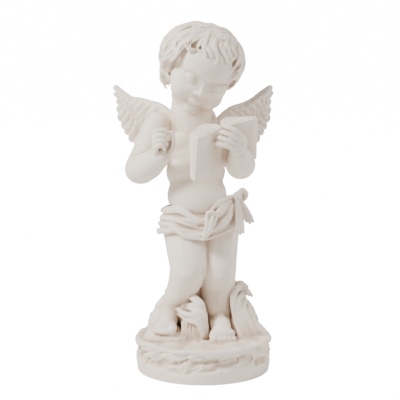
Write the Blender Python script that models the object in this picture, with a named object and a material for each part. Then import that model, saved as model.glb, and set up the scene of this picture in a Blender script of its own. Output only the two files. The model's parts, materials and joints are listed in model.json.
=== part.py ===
"""A garden cherub reading a book, cast in one piece with its round rocky plinth.

Metres, +Z up, the front faces -Y, and the origin is under the middle of the plinth. The figure is laid
out in figure units, FIGURE_UNITS of them from the plinth's top to the top of the hair, with the plinth's
top at height 0.
"""

import math

import bmesh
import bpy
import numpy as np
from mathutils import Euler, Matrix, Vector

# Driving dimensions, in metres
FIGURE_HEIGHT = 0.452
PLINTH_RADIUS = 0.0995
PLINTH_HEIGHT = 0.048
BOOK_HEIGHT = 0.064
BOOK_HALF_WIDTH = 0.056
BOOK_HALF_THICKNESS = 0.0125
BOOK_COVER = 0.0022
CLOTH_THICKNESS = 0.0045
WING_THICKNESS = 0.0060
HACK_DEPTH = 0.0030
LIP_ROUNDING = 0.0035

# Figure units: the pose and the proportions are shares of the figure's height
FIGURE_UNITS = 450.0
UNIT = FIGURE_HEIGHT / FIGURE_UNITS

# Fineness of the modelling, in figure units, and the triangles that the finished solid may have
FLESH_VOXEL = 2.6
FINE_VOXEL = 1.9
TRIANGLES = 9600

# Joints of the skeleton, in figure units; left and right are the viewer's
HEAD_CENTRE = Vector((1.5, -10, 390.5))
HEAD_TURN, HEAD_NOD, HEAD_LEAN = (math.radians(a) for a in (15, 22, 21))
LEFT_SHOULDER = Vector((-64, 0, 304))
LEFT_ELBOW = Vector((-89, -14, 243))
LEFT_WRIST = Vector((-58, -48, 265))
RIGHT_SHOULDER = Vector((34, 4, 293))
RIGHT_ELBOW = Vector((52, -16, 249))
RIGHT_WRIST = Vector((49, -52, 267))
LEFT_HIP = Vector((-30, 6, 155))
LEFT_KNEE = Vector((-21, -22, 103))
LEFT_ANKLE = Vector((-46, -4, 42))
RIGHT_HIP = Vector((22, 8, 152))
RIGHT_KNEE = Vector((22, -5, 99))
RIGHT_ANKLE = Vector((22, 3, 28))
LEFT_FOOT = (Vector((-9, -36, 0)), 12.5, 12)
RIGHT_FOOT = (Vector((6, -44, 0)), 14, 0)
BODY_MIDDLE = -12.0


def head_frame():
    """The head's own axes: X to the viewer's right, Y out of the face's back, Z to the crown."""
    turn = Matrix.Rotation(HEAD_TURN, 4, "Z")
    nod = Matrix.Rotation(HEAD_NOD, 4, "X")
    lean = Matrix.Rotation(HEAD_LEAN, 4, "Y")
    return Matrix.Translation(HEAD_CENTRE) @ lean @ turn @ nod


def smooth_path(points, samples):
    """A Catmull-Rom curve through the rows of points, sampled evenly in its parameter."""
    rows = np.asarray(points, float)
    ends = np.vstack([2 * rows[0] - rows[1], rows, 2 * rows[-1] - rows[-2]])
    t = np.linspace(0, len(rows) - 1, samples)
    i = np.minimum(t.astype(int), len(rows) - 2)
    f = (t - i)[:, None]
    a, b, c, d = (ends[i + k] for k in range(4))
    return 0.5 * (2 * b + (c - a) * f + (2 * a - 5 * b + 4 * c - d) * f**2 + (3 * b - a - 3 * c + d) * f**3)


def unit_rows(rows):
    return rows / np.maximum(np.linalg.norm(rows, axis=1, keepdims=True), 1e-9)


class Clay:
    """Closed forms gathered in one mesh, in figure units, for a voxel remesh to fuse."""

    def __init__(self):
        self.forms = bmesh.new()

    def ball(self, centre, radii, frame=Matrix(), turn=(0, 0, 0)):
        """An ellipsoid. turn is its rotation about X, Y and Z, in degrees."""
        radii = (radii,) * 3 if isinstance(radii, (int, float)) else radii
        spin = Euler([math.radians(a) for a in turn]).to_matrix().to_4x4()
        place = frame @ Matrix.Translation(centre) @ spin @ Matrix.Diagonal((*radii, 1))
        bmesh.ops.create_icosphere(self.forms, subdivisions=3, radius=1, matrix=place)

    def roll(self, points, radii, flat=1.0, facing=(0, -1, 0), frame=Matrix(), sides=12, outward_from=None):
        """A rolled length of clay through the points, with a half width at each and round ends.

        Its thickness is flat times its width, along facing, or away from the point outward_from.
        """
        rows = np.array([frame @ Vector(p) for p in points])
        samples = max(8, 5 * len(rows))
        path = smooth_path(rows, samples)
        width = np.interp(np.linspace(0, len(rows) - 1, samples), range(len(rows)), radii)
        along = unit_rows(np.gradient(path, axis=0))
        if outward_from is None:
            up = np.tile(np.array(frame.to_3x3() @ Vector(facing)), (samples, 1))
        else:
            up = path - np.array(frame @ Vector(outward_from))
        up = unit_rows(up - (up * along).sum(1, keepdims=True) * along)
        across = np.cross(along, up)
        rings = [(path[i], i, width[i]) for i in range(samples)]
        for a in (0.9, 0.35):
            back, narrow = math.cos(a), math.sin(a)
            rings.insert(0, (path[0] - along[0] * width[0] * back, 0, width[0] * narrow))
            rings.append((path[-1] + along[-1] * width[-1] * back, -1, width[-1] * narrow))
        angles = np.arange(sides) * 2 * math.pi / sides
        loops = []
        for centre, i, half in rings:
            ring = np.outer(np.cos(angles), across[i]) + flat * np.outer(np.sin(angles), up[i])
            ring = centre + half * ring
            loops.append([self.forms.verts.new(p) for p in ring])
        for lower, upper in zip(loops, loops[1:]):
            for k in range(sides):
                n = (k + 1) % sides
                self.forms.faces.new((lower[k], lower[n], upper[n], upper[k]))
        self.forms.faces.new(loops[0][::-1])
        self.forms.faces.new(loops[-1])

    def sheet(self, rows, thickness, facing):
        """A slab over the rows of points, its thickness laid half to each side along facing."""
        half = Vector(facing).normalized() * thickness / 2
        front, back = (
            [[self.forms.verts.new(Vector(p) + s * half) for p in row] for row in rows] for s in (1, -1)
        )
        last, end = len(rows) - 1, len(rows[0]) - 1
        for i in range(last):
            for k in range(end):
                self.forms.faces.new((front[i][k], front[i][k + 1], front[i + 1][k + 1], front[i + 1][k]))
                self.forms.faces.new((back[i][k], back[i + 1][k], back[i + 1][k + 1], back[i][k + 1]))
        rim = [(0, k) for k in range(end)] + [(i, end) for i in range(last)]
        rim += [(last, k) for k in range(end, 0, -1)] + [(i, 0) for i in range(last, 0, -1)]
        for (a, b), (c, d) in zip(rim, rim[1:] + rim[:1]):
            self.forms.faces.new((front[a][b], back[a][b], back[c][d], front[c][d]))

    def add(self, mesh):
        """Adds a mesh that was fused before."""
        self.forms.from_mesh(mesh)

    def fused(self, voxel, rounds):
        """One skin over all the forms, its edges softened by so many rounds of smoothing."""
        mesh = bpy.data.meshes.new("clay")
        bmesh.ops.recalc_face_normals(self.forms, faces=self.forms.faces)
        self.forms.to_mesh(mesh)
        self.forms.free()
        clay = bpy.data.objects.new("clay", mesh)
        bpy.context.scene.collection.objects.link(clay)
        skin = clay.modifiers.new("Skin", "REMESH")
        skin.mode = "VOXEL"
        skin.voxel_size = voxel
        if rounds:
            soften = clay.modifiers.new("Soften", "SMOOTH")
            soften.factor = 0.5
            soften.iterations = rounds
        graph = bpy.context.evaluated_depsgraph_get()
        result = bpy.data.meshes.new_from_object(clay.evaluated_get(graph))
        bpy.data.objects.remove(clay)
        bpy.data.meshes.remove(mesh)
        return result


def press(mesh, points, radius, depth, frame=Matrix()):
    """Presses a hollow into the skin along the points; with a negative depth it raises a ridge."""
    spots = np.empty(3 * len(mesh.vertices))
    normals = spots.copy()
    mesh.vertices.foreach_get("co", spots)
    mesh.vertices.foreach_get("normal", normals)
    spots, normals = spots.reshape(-1, 3), normals.reshape(-1, 3)
    rows = np.array([frame @ Vector(p) for p in points])
    path = smooth_path(rows, 8 * len(rows)) if len(rows) > 1 else rows
    away = np.min([np.linalg.norm(spots - p, axis=1) for p in path], axis=0)
    fall = np.clip(1 - away / radius, 0, 1)
    spots -= normals * (depth * fall * fall * (3 - 2 * fall))[:, None]
    mesh.vertices.foreach_set("co", spots.ravel())
    mesh.update()


def torso(clay):
    clay.ball((-7, 7, 166), (52, 38, 34))  # hips
    clay.ball((-9, -6, 205), (43, 34, 36))  # belly
    clay.ball((-11, 2, 238), (43, 31, 34))  # ribs
    clay.ball((-13, 2, 273), (46, 28, 34))  # chest
    clay.ball((-15, 7, 297), (46, 22, 19))  # shoulder girdle
    for side in (-1, 1):
        clay.ball((BODY_MIDDLE + side * 19, -18, 283), (17, 10, 13))  # breast
        clay.ball((BODY_MIDDLE + side * 23, 20, 282), (20, 14, 26))  # shoulder blade
        clay.ball((-7 + side * 20, 28, 160), (25, 24, 26))  # buttock
    clay.roll([(-15, 5, 300), (-17, 4, 322), (-12, 4, 345)], [30, 30, 31])
    clay.ball((-14, 16, 312), (34, 20, 22))  # nape


def arms(clay):
    clay.roll([LEFT_SHOULDER, (-76, -6, 275), LEFT_ELBOW], [20, 20.5, 22.5])
    clay.roll([LEFT_ELBOW, (-75, -32, 252), LEFT_WRIST], [23, 21.5, 15])
    clay.roll([RIGHT_SHOULDER, (45, -4, 272), RIGHT_ELBOW], [19, 20, 21])
    clay.roll([RIGHT_ELBOW, (52, -35, 255), RIGHT_WRIST], [22, 20, 15])


def legs(clay):
    clay.roll([LEFT_HIP, (-23, -11, 126), LEFT_KNEE], [29, 30, 27])
    clay.roll([LEFT_KNEE, (-27, -12, 80), (-38, -5, 58), LEFT_ANKLE], [26.5, 24.5, 18.5, 13.5])
    clay.roll([RIGHT_HIP, (21, 2, 125), RIGHT_KNEE], [30, 29, 26])
    clay.roll([RIGHT_KNEE, (20, 6, 76), (20, 5, 48), RIGHT_ANKLE], [26, 27, 21, 17])
    foot(clay, LEFT_ANKLE, *LEFT_FOOT)
    foot(clay, RIGHT_ANKLE, *RIGHT_FOOT)


def foot(clay, ankle, reach, half, ground):
    """A foot from its ankle to the ball, on rock as high as ground."""
    heel = Vector((ankle.x, ankle.y + 7, ground + half))
    clay.ball(heel, (half, half + 1, half))
    middle = Vector((ankle.x, ankle.y, ground + half)) + reach * 0.45
    front = Vector((ankle.x, ankle.y, ground + half * 0.72)) + reach * 0.85
    clay.roll([ankle, middle + Vector((0, 0, 2)), front], [half + 1, half + 1, half * 0.9])
    clay.ball(front, (half * 1.35, half * 0.9, half * 0.7))


def head_masses(clay, frame):
    clay.ball((0, 5, 4), (50, 52, 43), frame)  # cranium
    clay.ball((0, -20, 9), (41, 30, 30), frame)  # forehead
    clay.ball((0, -15, -20), (42, 35, 35), frame)  # face
    clay.ball((0, -15, -42), (32, 28, 20), frame)  # jaw
    clay.ball((0, -37, -53), (12, 9, 9), frame)  # chin
    clay.ball((0, -11, -56), (27, 23, 13), frame)  # double chin
    for side in (-1, 1):
        clay.ball((side * 22, -28, -32), (18, 17, 19), frame)  # cheek


def hollows(skin, frame):
    """Sockets of the eyes, creases of the limbs, navel, spine and the cleft of the breast."""
    for side in (-1, 1):
        press(skin, [(side * 11, -47, -6), (side * 26, -43, -9)], 12, 4, frame)
        press(skin, [(side * 12, -49, -24), (side * 14, -47, -38)], 8, 1.6, frame)
    press(skin, [(-14, -46, -47.5), (14, -46, -47.5)], 6, 1.8, frame)
    press(skin, [(-99, -20, 266), (-86, -34, 270), (-74, -38, 268)], 6, 3)
    press(skin, [(40, -50, 262), (60, -50, 262)], 6, 2.4)
    press(skin, [(-9, -44, 191)], 6, 4)
    press(skin, [(-14, -30, 296), (-12, -32, 262)], 9, 2)
    press(skin, [(-13, 34, 300), (-11, 36, 240), (-8, 40, 186)], 13, 4)
    press(skin, [(-45, -30, 222), (-10, -42, 218), (26, -30, 222)], 8, 1.6)
    press(skin, [(5, -28, 142), (6, -40, 118), (0, -36, 96)], 8, 3.5)
    press(skin, [(36, -10, 30), (22, -16, 28), (8, -10, 30)], 6, 2)


def face(clay, frame):
    """Brow, lowered lids, nose and lips of a calm child."""
    clay.roll([(0, -44, -5), (0, -47, -15), (0, -50, -22)], [3.4, 3.8, 4.3], frame=frame)  # nose
    clay.ball((0, -51, -23.5), (4.8, 4.4, 4.2), frame)
    clay.ball((0, -42, -37), (13, 6, 9), frame)  # muzzle
    for side in (-1, 1):
        clay.ball((side * 5, -48.5, -25.2), (3.6, 4, 3), frame)  # wing of the nose
        clay.ball((side * 18.5, -36, -10), (9.5, 8.5, 7), frame)  # eye under its lid
        brow = [(side * 9, -45, 1), (side * 18, -45.5, 3.5), (side * 29, -38.5, 0)]
        clay.roll(brow, [2, 2.6, 2], frame=frame)
    clay.ball((-48, -4, -20), (6, 8, 11), frame)  # ear
    upper = [(-8.8, -44.5, -38.6), (-3.6, -47.4, -36.9), (0, -47.7, -37.6)]
    upper += [(3.6, -47.4, -36.9), (8.8, -44.5, -38.6)]
    clay.roll(upper, [1.3, 2.4, 2.2, 2.4, 1.3], frame=frame)
    clay.roll([(-7, -44.6, -40.6), (0, -46.8, -42), (7, -44.6, -40.6)], [1.5, 2.6, 1.5], frame=frame)


def hands(clay):
    """The left hand curls against the breast; the right one holds the book's back."""
    clay.ball((-57.5, -48.5, 278), (14, 9, 17))
    clay.ball((-47, -50, 283), (6, 4, 13))
    for k, (width, height) in enumerate(((20.5, 301), (19.5, 293.5), (17, 286.5), (12, 280))):
        middle, front = -57.5 - 0.5 * k, -60 - 1.2 * k
        bend = [(middle - width / 2, front + 5, height - 12), (middle - 0.45 * width, front, height - 4)]
        bend += [(middle - 0.16 * width, front - 3, height)]
        bend += [(middle + 0.22 * width, front - 2.6, height - 0.3)]
        bend += [(middle + 0.5 * width, front + 2, height - 5)]
        clay.roll(bend, [3.2, 3.2, 3.1, 3.1, 2.9])
    thumb = [(-52, -52, 264), (-46, -54, 270), (-42, -56, 279), (-41, -57, 288)]
    thumb += [(-42, -58, 295.5), (-45, -59, 298)]
    clay.roll(thumb, [5, 4.6, 3.6, 3.3, 3.3, 2.9])
    clay.ball((47, -61, 281), (12.5, 9.5, 16), turn=(-14, 22, 0))
    clay.ball((37, -65, 292), (9, 6, 11), turn=(-14, 22, 0))
    for k in range(4):
        reach = [(54.5 - 3 * k, -63, 289.5 - 6 * k), (50 - 3.6 * k, -70, 296 - 6.3 * k)]
        reach += [(41.3 - 4 * k, -74, 302.3 - 7.2 * k), (32.7 - 4.3 * k, -73, 306 - 7.5 * k)]
        reach += [(29 - 4.3 * k, -69.5, 306.3 - 7.5 * k)]
        clay.roll(reach, [3.6, 3.6, 3.5, 3.5, 3.1])


def toes(clay, ankle, inner, reach, half, ground):
    """Five toes; inner is the side of the big one."""
    ball_of_foot = Vector((ankle.x, ankle.y, ground)) + reach * 0.95
    aside = Vector((inner, 0, 0))
    for k in range(5):
        spread = half * (0.95 - 0.50 * k)
        size = half * (0.50, 0.37, 0.36, 0.34, 0.31)[k]
        ahead = reach.normalized() * half * (0.62, 0.66, 0.56, 0.40, 0.18)[k]
        root = ball_of_foot + aside * spread + Vector((0, 0, size * 1.2))
        tip = root + ahead + Vector((0, 0, -size * 0.15))
        clay.roll([root, tip], [size, size])


def book(clay):
    """An open book with its covers to the viewer, its top tipped forward."""
    lean = Matrix.Rotation(math.radians(20), 4, "X")
    spine_foot = Vector((26, -36, 246))
    height, half_width, thick, cover = (
        v / UNIT for v in (BOOK_HEIGHT, BOOK_HALF_WIDTH, BOOK_HALF_THICKNESS, BOOK_COVER)
    )
    for side, opening in ((-1, -49), (1, 31)):
        turn = Matrix.Rotation(math.radians(opening * side), 4, "Z")
        half = Matrix.Translation(spine_foot) @ lean @ turn @ Matrix.Diagonal((side, 1, 1, 1))
        edge, swell, narrowing, thickening = (1.15, 1.45, 0.13, 0.6) if side < 0 else (0.55, 2.0, 0.0, 0.1)
        bulge = ((0.965, edge), (0.7, 0.45 * (swell + edge)))
        bulge += ((0.45, swell), (0.25, swell), (0.1, 0.72 * swell))
        outline = [(0, 0), (half_width * 0.5, -cover), (half_width, 0), (half_width, cover)]
        outline += [(half_width * 0.965, cover)]
        outline += [(half_width * s, thick * t) for s, t in bulge]
        outline += [(0, thick * 0.4)]
        rows = []
        for z in (0, height):
            wide, deep = 1.04 - narrowing * z / height, 0.8 + thickening * z / height
            corners = [half @ Vector((x * wide, y * deep, z)) for x, y in outline]
            rows.append([clay.forms.verts.new(corner) for corner in corners])
        clay.forms.faces.new(rows[0][::-1])
        clay.forms.faces.new(rows[1])
        for k in range(len(outline)):
            n = (k + 1) % len(outline)
            clay.forms.faces.new((rows[0][k], rows[0][n], rows[1][n], rows[1][k]))


def hip_point(angle, height, out):
    """A point on the hips' skin, angle in degrees from the viewer's right by way of the front."""
    share = (height - 150) / 50
    turn = math.radians(angle)
    wide = 56 - 8 * share + out
    deep = 41 - 2 * share - 10 * min(0.0, math.sin(turn)) + out
    return Vector((-7 + wide * math.cos(turn), 5 - deep * math.sin(turn), height))


def loincloth(clay):
    """A cloth slung from the knot on the right hip, its folds fanning out of the knot."""
    thick = CLOTH_THICKNESS / UNIT
    angles = np.arange(0, 360, 4.5)
    marks = [0, 25, 35, 59, 73, 80, 91, 112, 126, 150, 180, 230, 290, 330, 360]
    top = np.interp(angles, marks, [204, 205, 205, 199, 185, 175, 177, 188, 187, 184, 183, 187, 193, 200, 204])
    marks = [0, 12, 32, 59, 79, 105, 120, 138, 154, 180, 230, 290, 330, 360]
    low = np.interp(angles, marks, [163, 162, 157, 150, 145, 147, 154, 156, 150, 147, 146, 148, 154, 163])
    levels = 15
    rings = [[] for _ in range(levels)]
    for a, high, foot_z in zip(angles, top, low):
        run = (a if a < 215 else 360 - a) * 0.95 + 12
        for i in range(levels):
            share = i / (levels - 1)
            z = high + (foot_z - high) * share
            fan = math.atan2(206 - z, run)
            fold = math.sin(fan * (26 + 0.12 * run) + 0.02 * run)
            out = thick * (0.55 + 0.45 * fold) * (1 - 0.6 * (2 * share - 1) ** 8)
            rings[i].append(hip_point(a, z, out))
    shells = [[clay.forms.verts.new(p) for p in ring] for ring in rings]
    for z in (150, 190):
        inner = [clay.forms.verts.new(hip_point(a, z, -14)) for a in angles]
        shells.insert(0, inner) if z > 170 else shells.append(inner)
    count = len(angles)
    for upper, lower in zip(shells, shells[1:] + shells[:1]):
        for k in range(count):
            n = (k + 1) % count
            clay.forms.faces.new((upper[k], lower[k], lower[n], upper[n]))
    clay.roll([(13, -41, 184), (11, -42, 172), (6, -43, 158), (0, -42, 146)], [2.5, 5, 5.5, 2.5], 0.6)
    clay.roll([(4, -43, 180), (3, -43, 166), (-2, -43, 152)], [2, 3.4, 2.5], 0.7)
    clay.ball((48, -5, 203), (7, 8, 7))
    loop = [(48, -6, 205), (55, -4, 211), (60, 0, 205), (56, 0, 198), (49, -3, 200)]
    clay.roll(loop, [4, 4.5, 5, 4.5, 4], 0.7)
    clay.roll([(50, -7, 200), (58, -9, 184), (66, -9, 165)], [4, 6.5, 8], 0.45, (0.4, -1, 0))
    clay.roll([(47, -10, 199), (51, -16, 176), (52, -18, 151)], [4, 6.5, 7], 0.45, (0.2, -1, 0))
    clay.roll([(51, 2, 199), (59, 4, 182), (65, 6, 168)], [4, 6, 7], 0.45, (1, 0, 0))


# The front edges of the wings, as the reach from the body's middle, the depth and the height
WING_ARMS = {
    -1: [(20, 30, 294), (35, 34, 314), (51, 41, 327), (66, 47, 332), (80, 52, 336), (93, 57, 338)],
    1: [(20, 30, 288), (35, 34, 306), (48, 40, 319), (58, 44, 325), (71, 49, 329), (84, 54, 335)],
}
WING_TIPS = {-1: [(104, 61, 345), (116, 66, 354)], 1: [(98, 60, 345), (112, 66, 354)]}


def wing(clay, side):
    """A fan of long feathers with two rows of coverts on both faces, under a rolled front edge."""
    thick = WING_THICKNESS / UNIT
    facing = Vector((-side * 0.38, -0.92, 0))
    reach_x = 1 if side < 0 else 0.98

    def at(row):
        return Vector((BODY_MIDDLE + side * row[0] * reach_x, row[1], row[2]))

    arm = WING_ARMS[side] + WING_TIPS[side]
    clay.roll([at(p) for p in arm], [9, 8.5, 7.5, 6.5, 6, 5.5, 5.5, 5.5], 0.8, (-side * 0.35, -1, 0))
    roots = smooth_path(arm, 25)
    roots[:, 2] -= 3
    ends = [(46, 36, 254), (70, 48, 258), (88, 56, 267), (98, 60, 279), (105, 63, 292)]
    ends += [(112, 66, 306), (113, 68, 320), (112, 68, 334), (117, 68, 350)]
    tips = smooth_path(ends, 25)
    spread = np.linspace(0, 1, 5)[None, :, None]
    rows = roots[:, None] * (1 - spread) + (roots[:, None] * 0.04 + tips[:, None] * 0.96) * spread
    clay.sheet([[at(p) for p in row] for row in rows], thick, facing)
    for count, reach, lift, half in ((9, 1.0, 0.15, 7), (9, 0.7, 0.6, 6), (9, 0.42, 0.95, 5.2)):
        for k in range(count):
            t = (k + 0.5) / count
            root, tip = (rows_of[int(round(t * 24))] for rows_of in (roots, tips))
            for face_side in (1, -1):
                away = facing * (thick * lift * face_side)
                start = at(root) + away * 1.3
                end = at(root + (tip - root) * reach) + away
                path = [start, start.lerp(end, 0.5) + Vector((0, 0, -2)), start.lerp(end, 0.9)]
                clay.roll(path, [half * 0.6, half, half * 0.9], thick / half / 2, facing)


def hair(clay, frame):
    """A cap of hair and rows of wavy locks combed from the crown, longer at the sides and the nape."""
    crown = Matrix.Rotation(math.radians(-24), 4, "X")
    clay.ball((-3, 6, 5.5), (53, 53, 43.5), frame)
    clay.ball((-39, 12, -20), (17, 22, 31), frame)
    clay.ball((35, 18, -16), (13, 20, 26), frame)
    clay.ball((-2, 22, -22), (40, 21, 32), frame)
    hairline = ([0, 45, 90, 135, 180, 225, 270, 315, 360], [79, 92, 120, 142, 150, 150, 138, 94, 79])
    for row, (count, start, share) in enumerate(((9, 5, 0.45), (15, 28, 0.74), (22, 52, 1.0))):
        for k in range(count):
            around = 2 * math.pi * (k + 0.5 * row) / count
            limit = np.interp(math.degrees(around) % 360, *hairline) + 5 * math.sin(5 * around + row)
            end = start + (limit - start) * share
            path = []
            for step in range(9):
                t = step / 8
                polar = math.radians(start + (end - start) * t)
                wave = math.sin(8 * t + 2 * around + 1.7 * row)
                swing = around + 0.15 * wave / max(0.35, math.sin(polar))
                bulge = 1 + 0.035 * math.sin(6 * t + 5 * around)
                flat_x, flat_y = math.sin(polar) * math.sin(swing), -math.sin(polar) * math.cos(swing)
                spot = crown @ Vector((flat_x, flat_y, math.cos(polar)))
                wide = 53 if spot.x > 0 else 59 + 5 * max(0.0, -spot.z)
                low = 45 + 14 * max(0.0, -spot.z)
                spot = Vector((spot.x * wide, spot.y * 55, spot.z * low)) * bulge
                path.append(Vector((0, 6, 5)) + spot)
            widths = [2, 3.8, 4.6, 4.9, 4.9, 4.8, 4.6, 3.8, 1.6]
            clay.roll(path, widths, 0.95, frame=frame, outward_from=(0, 6, 6))


def stump(clay):
    """The rock behind the legs that carries them: rough lumps behind, long folds on the viewer's right."""
    for centre, radii in (
        ((-4, 28, 0), (64, 36, 66)),
        ((-58, 12, 0), (24, 28, 44)),
        ((-48, 16, 28), (24, 22, 30)),
        ((-54, -18, 0), (31, 30, 19)),
        ((-44, -34, 2), (22, 18, 12)),
        ((58, 12, 0), (24, 28, 52)),
        ((72, 2, -2), (20, 18, 22)),
        ((24, -44, -3), (28, 20, 6)),
        ((2, -50, -2), (16, 12, 6)),
    ):
        clay.ball(centre, radii)
    for k in range(26):
        turn = math.radians(-5 + 190 * ((k * 0.618) % 1))
        high = 8 + 52 * ((k * 0.755 + 0.1) % 1)
        reach = math.sqrt(1 - (high / 72) ** 2)
        size = 13 + 4 * math.sin(k * 2.1)
        spot = (-2 + 70 * reach * math.cos(turn), 26 + 37 * reach * math.sin(turn), high)
        tumble = (20 * math.sin(k), 25 * math.cos(k * 1.7), 40 * k)
        clay.ball(spot, (size, size * 0.8, size * 0.7), turn=tumble)
    for widths, *points in (
        ((6, 5, 4.4, 4.8, 5), (52, 2, 70), (45, -7, 65), (42.5, -12, 49), (47, -14, 27), (55, -20, 2)),
        ((5, 4.4, 4.4, 4.8, 5), (58, 2, 60), (51, -8, 54), (50, -12, 39), (57, -13, 21), (67, -17, 0)),
        ((5, 4.4, 4.4, 4.8, 5), (60, 0, 50), (56, -6, 42), (61, -8, 26), (72, -9, 13), (81, -11, 0)),
        ((5, 4.4, 4.4, 4.8, 4), (64, 4, 44), (66, 0, 30), (75, -2, 18), (86, -4, 8), (92, -5, 0)),
        ((4, 6, 4), (46, 4, 74), (54, 3, 74), (62, 3, 70)),
        ((4, 5.5, 3), (56, 2, 66), (64, 2, 62), (70, 2, 57)),
        ((4, 5.5, 3), (58, 2, 49), (65, 2, 42), (68, 2, 34)),
    ):
        clay.roll(points, widths, 0.9)


def leaves(clay):
    """Long leaves that spring from the left leg and curl down over a fluted stump between the feet."""
    for centre, radii in (
        ((-24, -10, 38), (13, 13, 24)),
        ((-16, -20, 12), (16, 16, 22)),
        ((-8, -19, 30), (14, 13, 26)),
        ((0, -20, 8), (9, 16, 22)),
    ):
        clay.ball(centre, radii)
    for widths, *points in (
        ((3, 5.5, 6, 4), (-23, -16, 62), (-13, -28, 59.5), (-4, -32, 52), (-1, -32, 42)),
        ((3, 3.8, 3.2), (-24, -18, 48), (-13, -30, 50.5), (-5, -33, 45)),
        ((3.4, 4.5, 5, 4.5, 3), (-24, -20, 45), (-9, -34, 43), (0, -35, 36), (2, -34, 28), (0, -33, 18)),
        ((3, 4.2, 4.5, 4.2, 3), (-38, -16, 43), (-27, -31, 38), (-16, -35, 37), (-6, -37, 31), (-1, -37, 22)),
        ((3.2, 4.2, 4.5, 4.5, 4), (-37, -17, 37), (-22, -33, 30), (-10, -37, 27), (-4, -38, 20), (-1, -38, 8)),
    ):
        clay.roll(points, widths, 0.75, (0.1, -1, 0.4))
    for k in range(5):
        x = -28.5 + 6 * k
        clay.roll([(x, -32, 26), (x + 0.6, -36, 13), (x + 1, -40, -2)], [2.9, 3.0, 3.2], 0.9)


def plinth(clay):
    """A round block with a rounded lip, a hacked band and a plain foot."""
    radius = PLINTH_RADIUS / UNIT
    depth = PLINTH_HEIGHT / UNIT
    hack_depth, rounding = HACK_DEPTH / UNIT, LIP_ROUNDING / UNIT
    turns, levels = 72, 14
    rings = []
    for level in range(levels + 1):
        down = level / levels
        ring = []
        for k in range(turns):
            a = 2 * math.pi * k / turns
            hack = math.sin(5 * a + 7 * down) + 0.7 * math.sin(11 * a - 9 * down + 1)
            hack += 0.5 * math.sin(17 * a + 14 * down)
            band = math.exp(-(((down - 0.5) / 0.22) ** 2))
            r = radius * (1 - 0.05 * down**2 + 0.003 * math.sin(3 * a))
            r -= band * hack_depth * (0.6 + 0.4 * hack)
            r -= rounding * max(0.0, 1 - down / 0.1) ** 2
            lip = 0.5 * hack_depth * math.sin(4 * a + 1) * (1 - down)
            ring.append(clay.forms.verts.new((r * math.cos(a), r * math.sin(a), lip - depth * 1.04 * down)))
        rings.append(ring)
    for upper, lower in zip(rings, rings[1:]):
        for k in range(turns):
            n = (k + 1) % turns
            clay.forms.faces.new((upper[k], lower[k], lower[n], upper[n]))
    clay.forms.faces.new(rings[0])
    clay.forms.faces.new(rings[-1][::-1])


def cherub_mesh():
    frame = head_frame()
    flesh = Clay()
    for masses in (torso, arms, legs):
        masses(flesh)
    head_masses(flesh, frame)
    skin = flesh.fused(FLESH_VOXEL, 8)
    hollows(skin, frame)
    whole = Clay()
    whole.add(skin)
    face(whole, frame)
    hands(whole)
    toes(whole, LEFT_ANKLE, 1, *LEFT_FOOT)
    toes(whole, RIGHT_ANKLE, -1, *RIGHT_FOOT)
    for group in (book, loincloth, stump, leaves, plinth):
        group(whole)
    for side in (-1, 1):
        wing(whole, side)
    hair(whole, frame)
    return whole.fused(FINE_VOXEL, 1)


def thinned(mesh):
    """The skin with only so many triangles as the finished solid may have."""
    whole = bpy.data.objects.new("whole", mesh)
    bpy.context.scene.collection.objects.link(whole)
    thin = whole.modifiers.new("Thin", "DECIMATE")
    thin.ratio = TRIANGLES / (2 * len(mesh.polygons))
    graph = bpy.context.evaluated_depsgraph_get()
    result = bpy.data.meshes.new_from_object(whole.evaluated_get(graph))
    bpy.data.objects.remove(whole)
    bpy.data.meshes.remove(mesh)
    return result


def one_flat_footed_solid(mesh):
    """Keeps the outer skin alone and cuts the plinth's underside flat."""
    solid = bmesh.new()
    solid.from_mesh(mesh)
    islands = []
    left = set(solid.verts)
    while left:
        island, edge_of_island = set(), [left.pop()]
        while edge_of_island:
            vert = edge_of_island.pop()
            island.add(vert)
            near = {e.other_vert(vert) for e in vert.link_edges} & left
            left -= near
            edge_of_island.extend(near)
        islands.append(island)
    islands.sort(key=len)
    bmesh.ops.delete(solid, geom=[v for island in islands[:-1] for v in island], context="VERTS")
    floor = (0, 0, -PLINTH_HEIGHT / UNIT)
    everything = solid.verts[:] + solid.edges[:] + solid.faces[:]
    bmesh.ops.bisect_plane(solid, geom=everything, plane_co=floor, plane_no=(0, 0, -1), clear_outer=True)
    bmesh.ops.remove_doubles(solid, verts=solid.verts, dist=0.05)
    rim = [e for e in solid.edges if e.is_boundary]
    bmesh.ops.contextual_create(solid, geom=rim)
    bmesh.ops.triangulate(solid, faces=solid.faces)
    bmesh.ops.recalc_face_normals(solid, faces=solid.faces)
    solid.to_mesh(mesh)
    solid.free()
    return mesh


def main():
    for obj in list(bpy.data.objects):
        bpy.data.objects.remove(obj)
    mesh = one_flat_footed_solid(thinned(cherub_mesh()))
    mesh.transform(Matrix.Translation((0, 0, PLINTH_HEIGHT)) @ Matrix.Scale(UNIT, 4))
    statue = bpy.data.objects.new("cherub_statue", mesh)
    bpy.context.scene.collection.objects.link(statue)
    stone = bpy.data.materials.new("white_stone")
    stone.use_nodes = True
    shader = stone.node_tree.nodes["Principled BSDF"]
    shader.inputs["Base Color"].default_value = (0.78, 0.74, 0.70, 1)
    shader.inputs["Roughness"].default_value = 0.75
    mesh.materials.append(stone)


main()
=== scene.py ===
import json
import math

import bmesh
import bpy
import numpy as np
from mathutils import Euler, Matrix, Vector, noise

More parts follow.
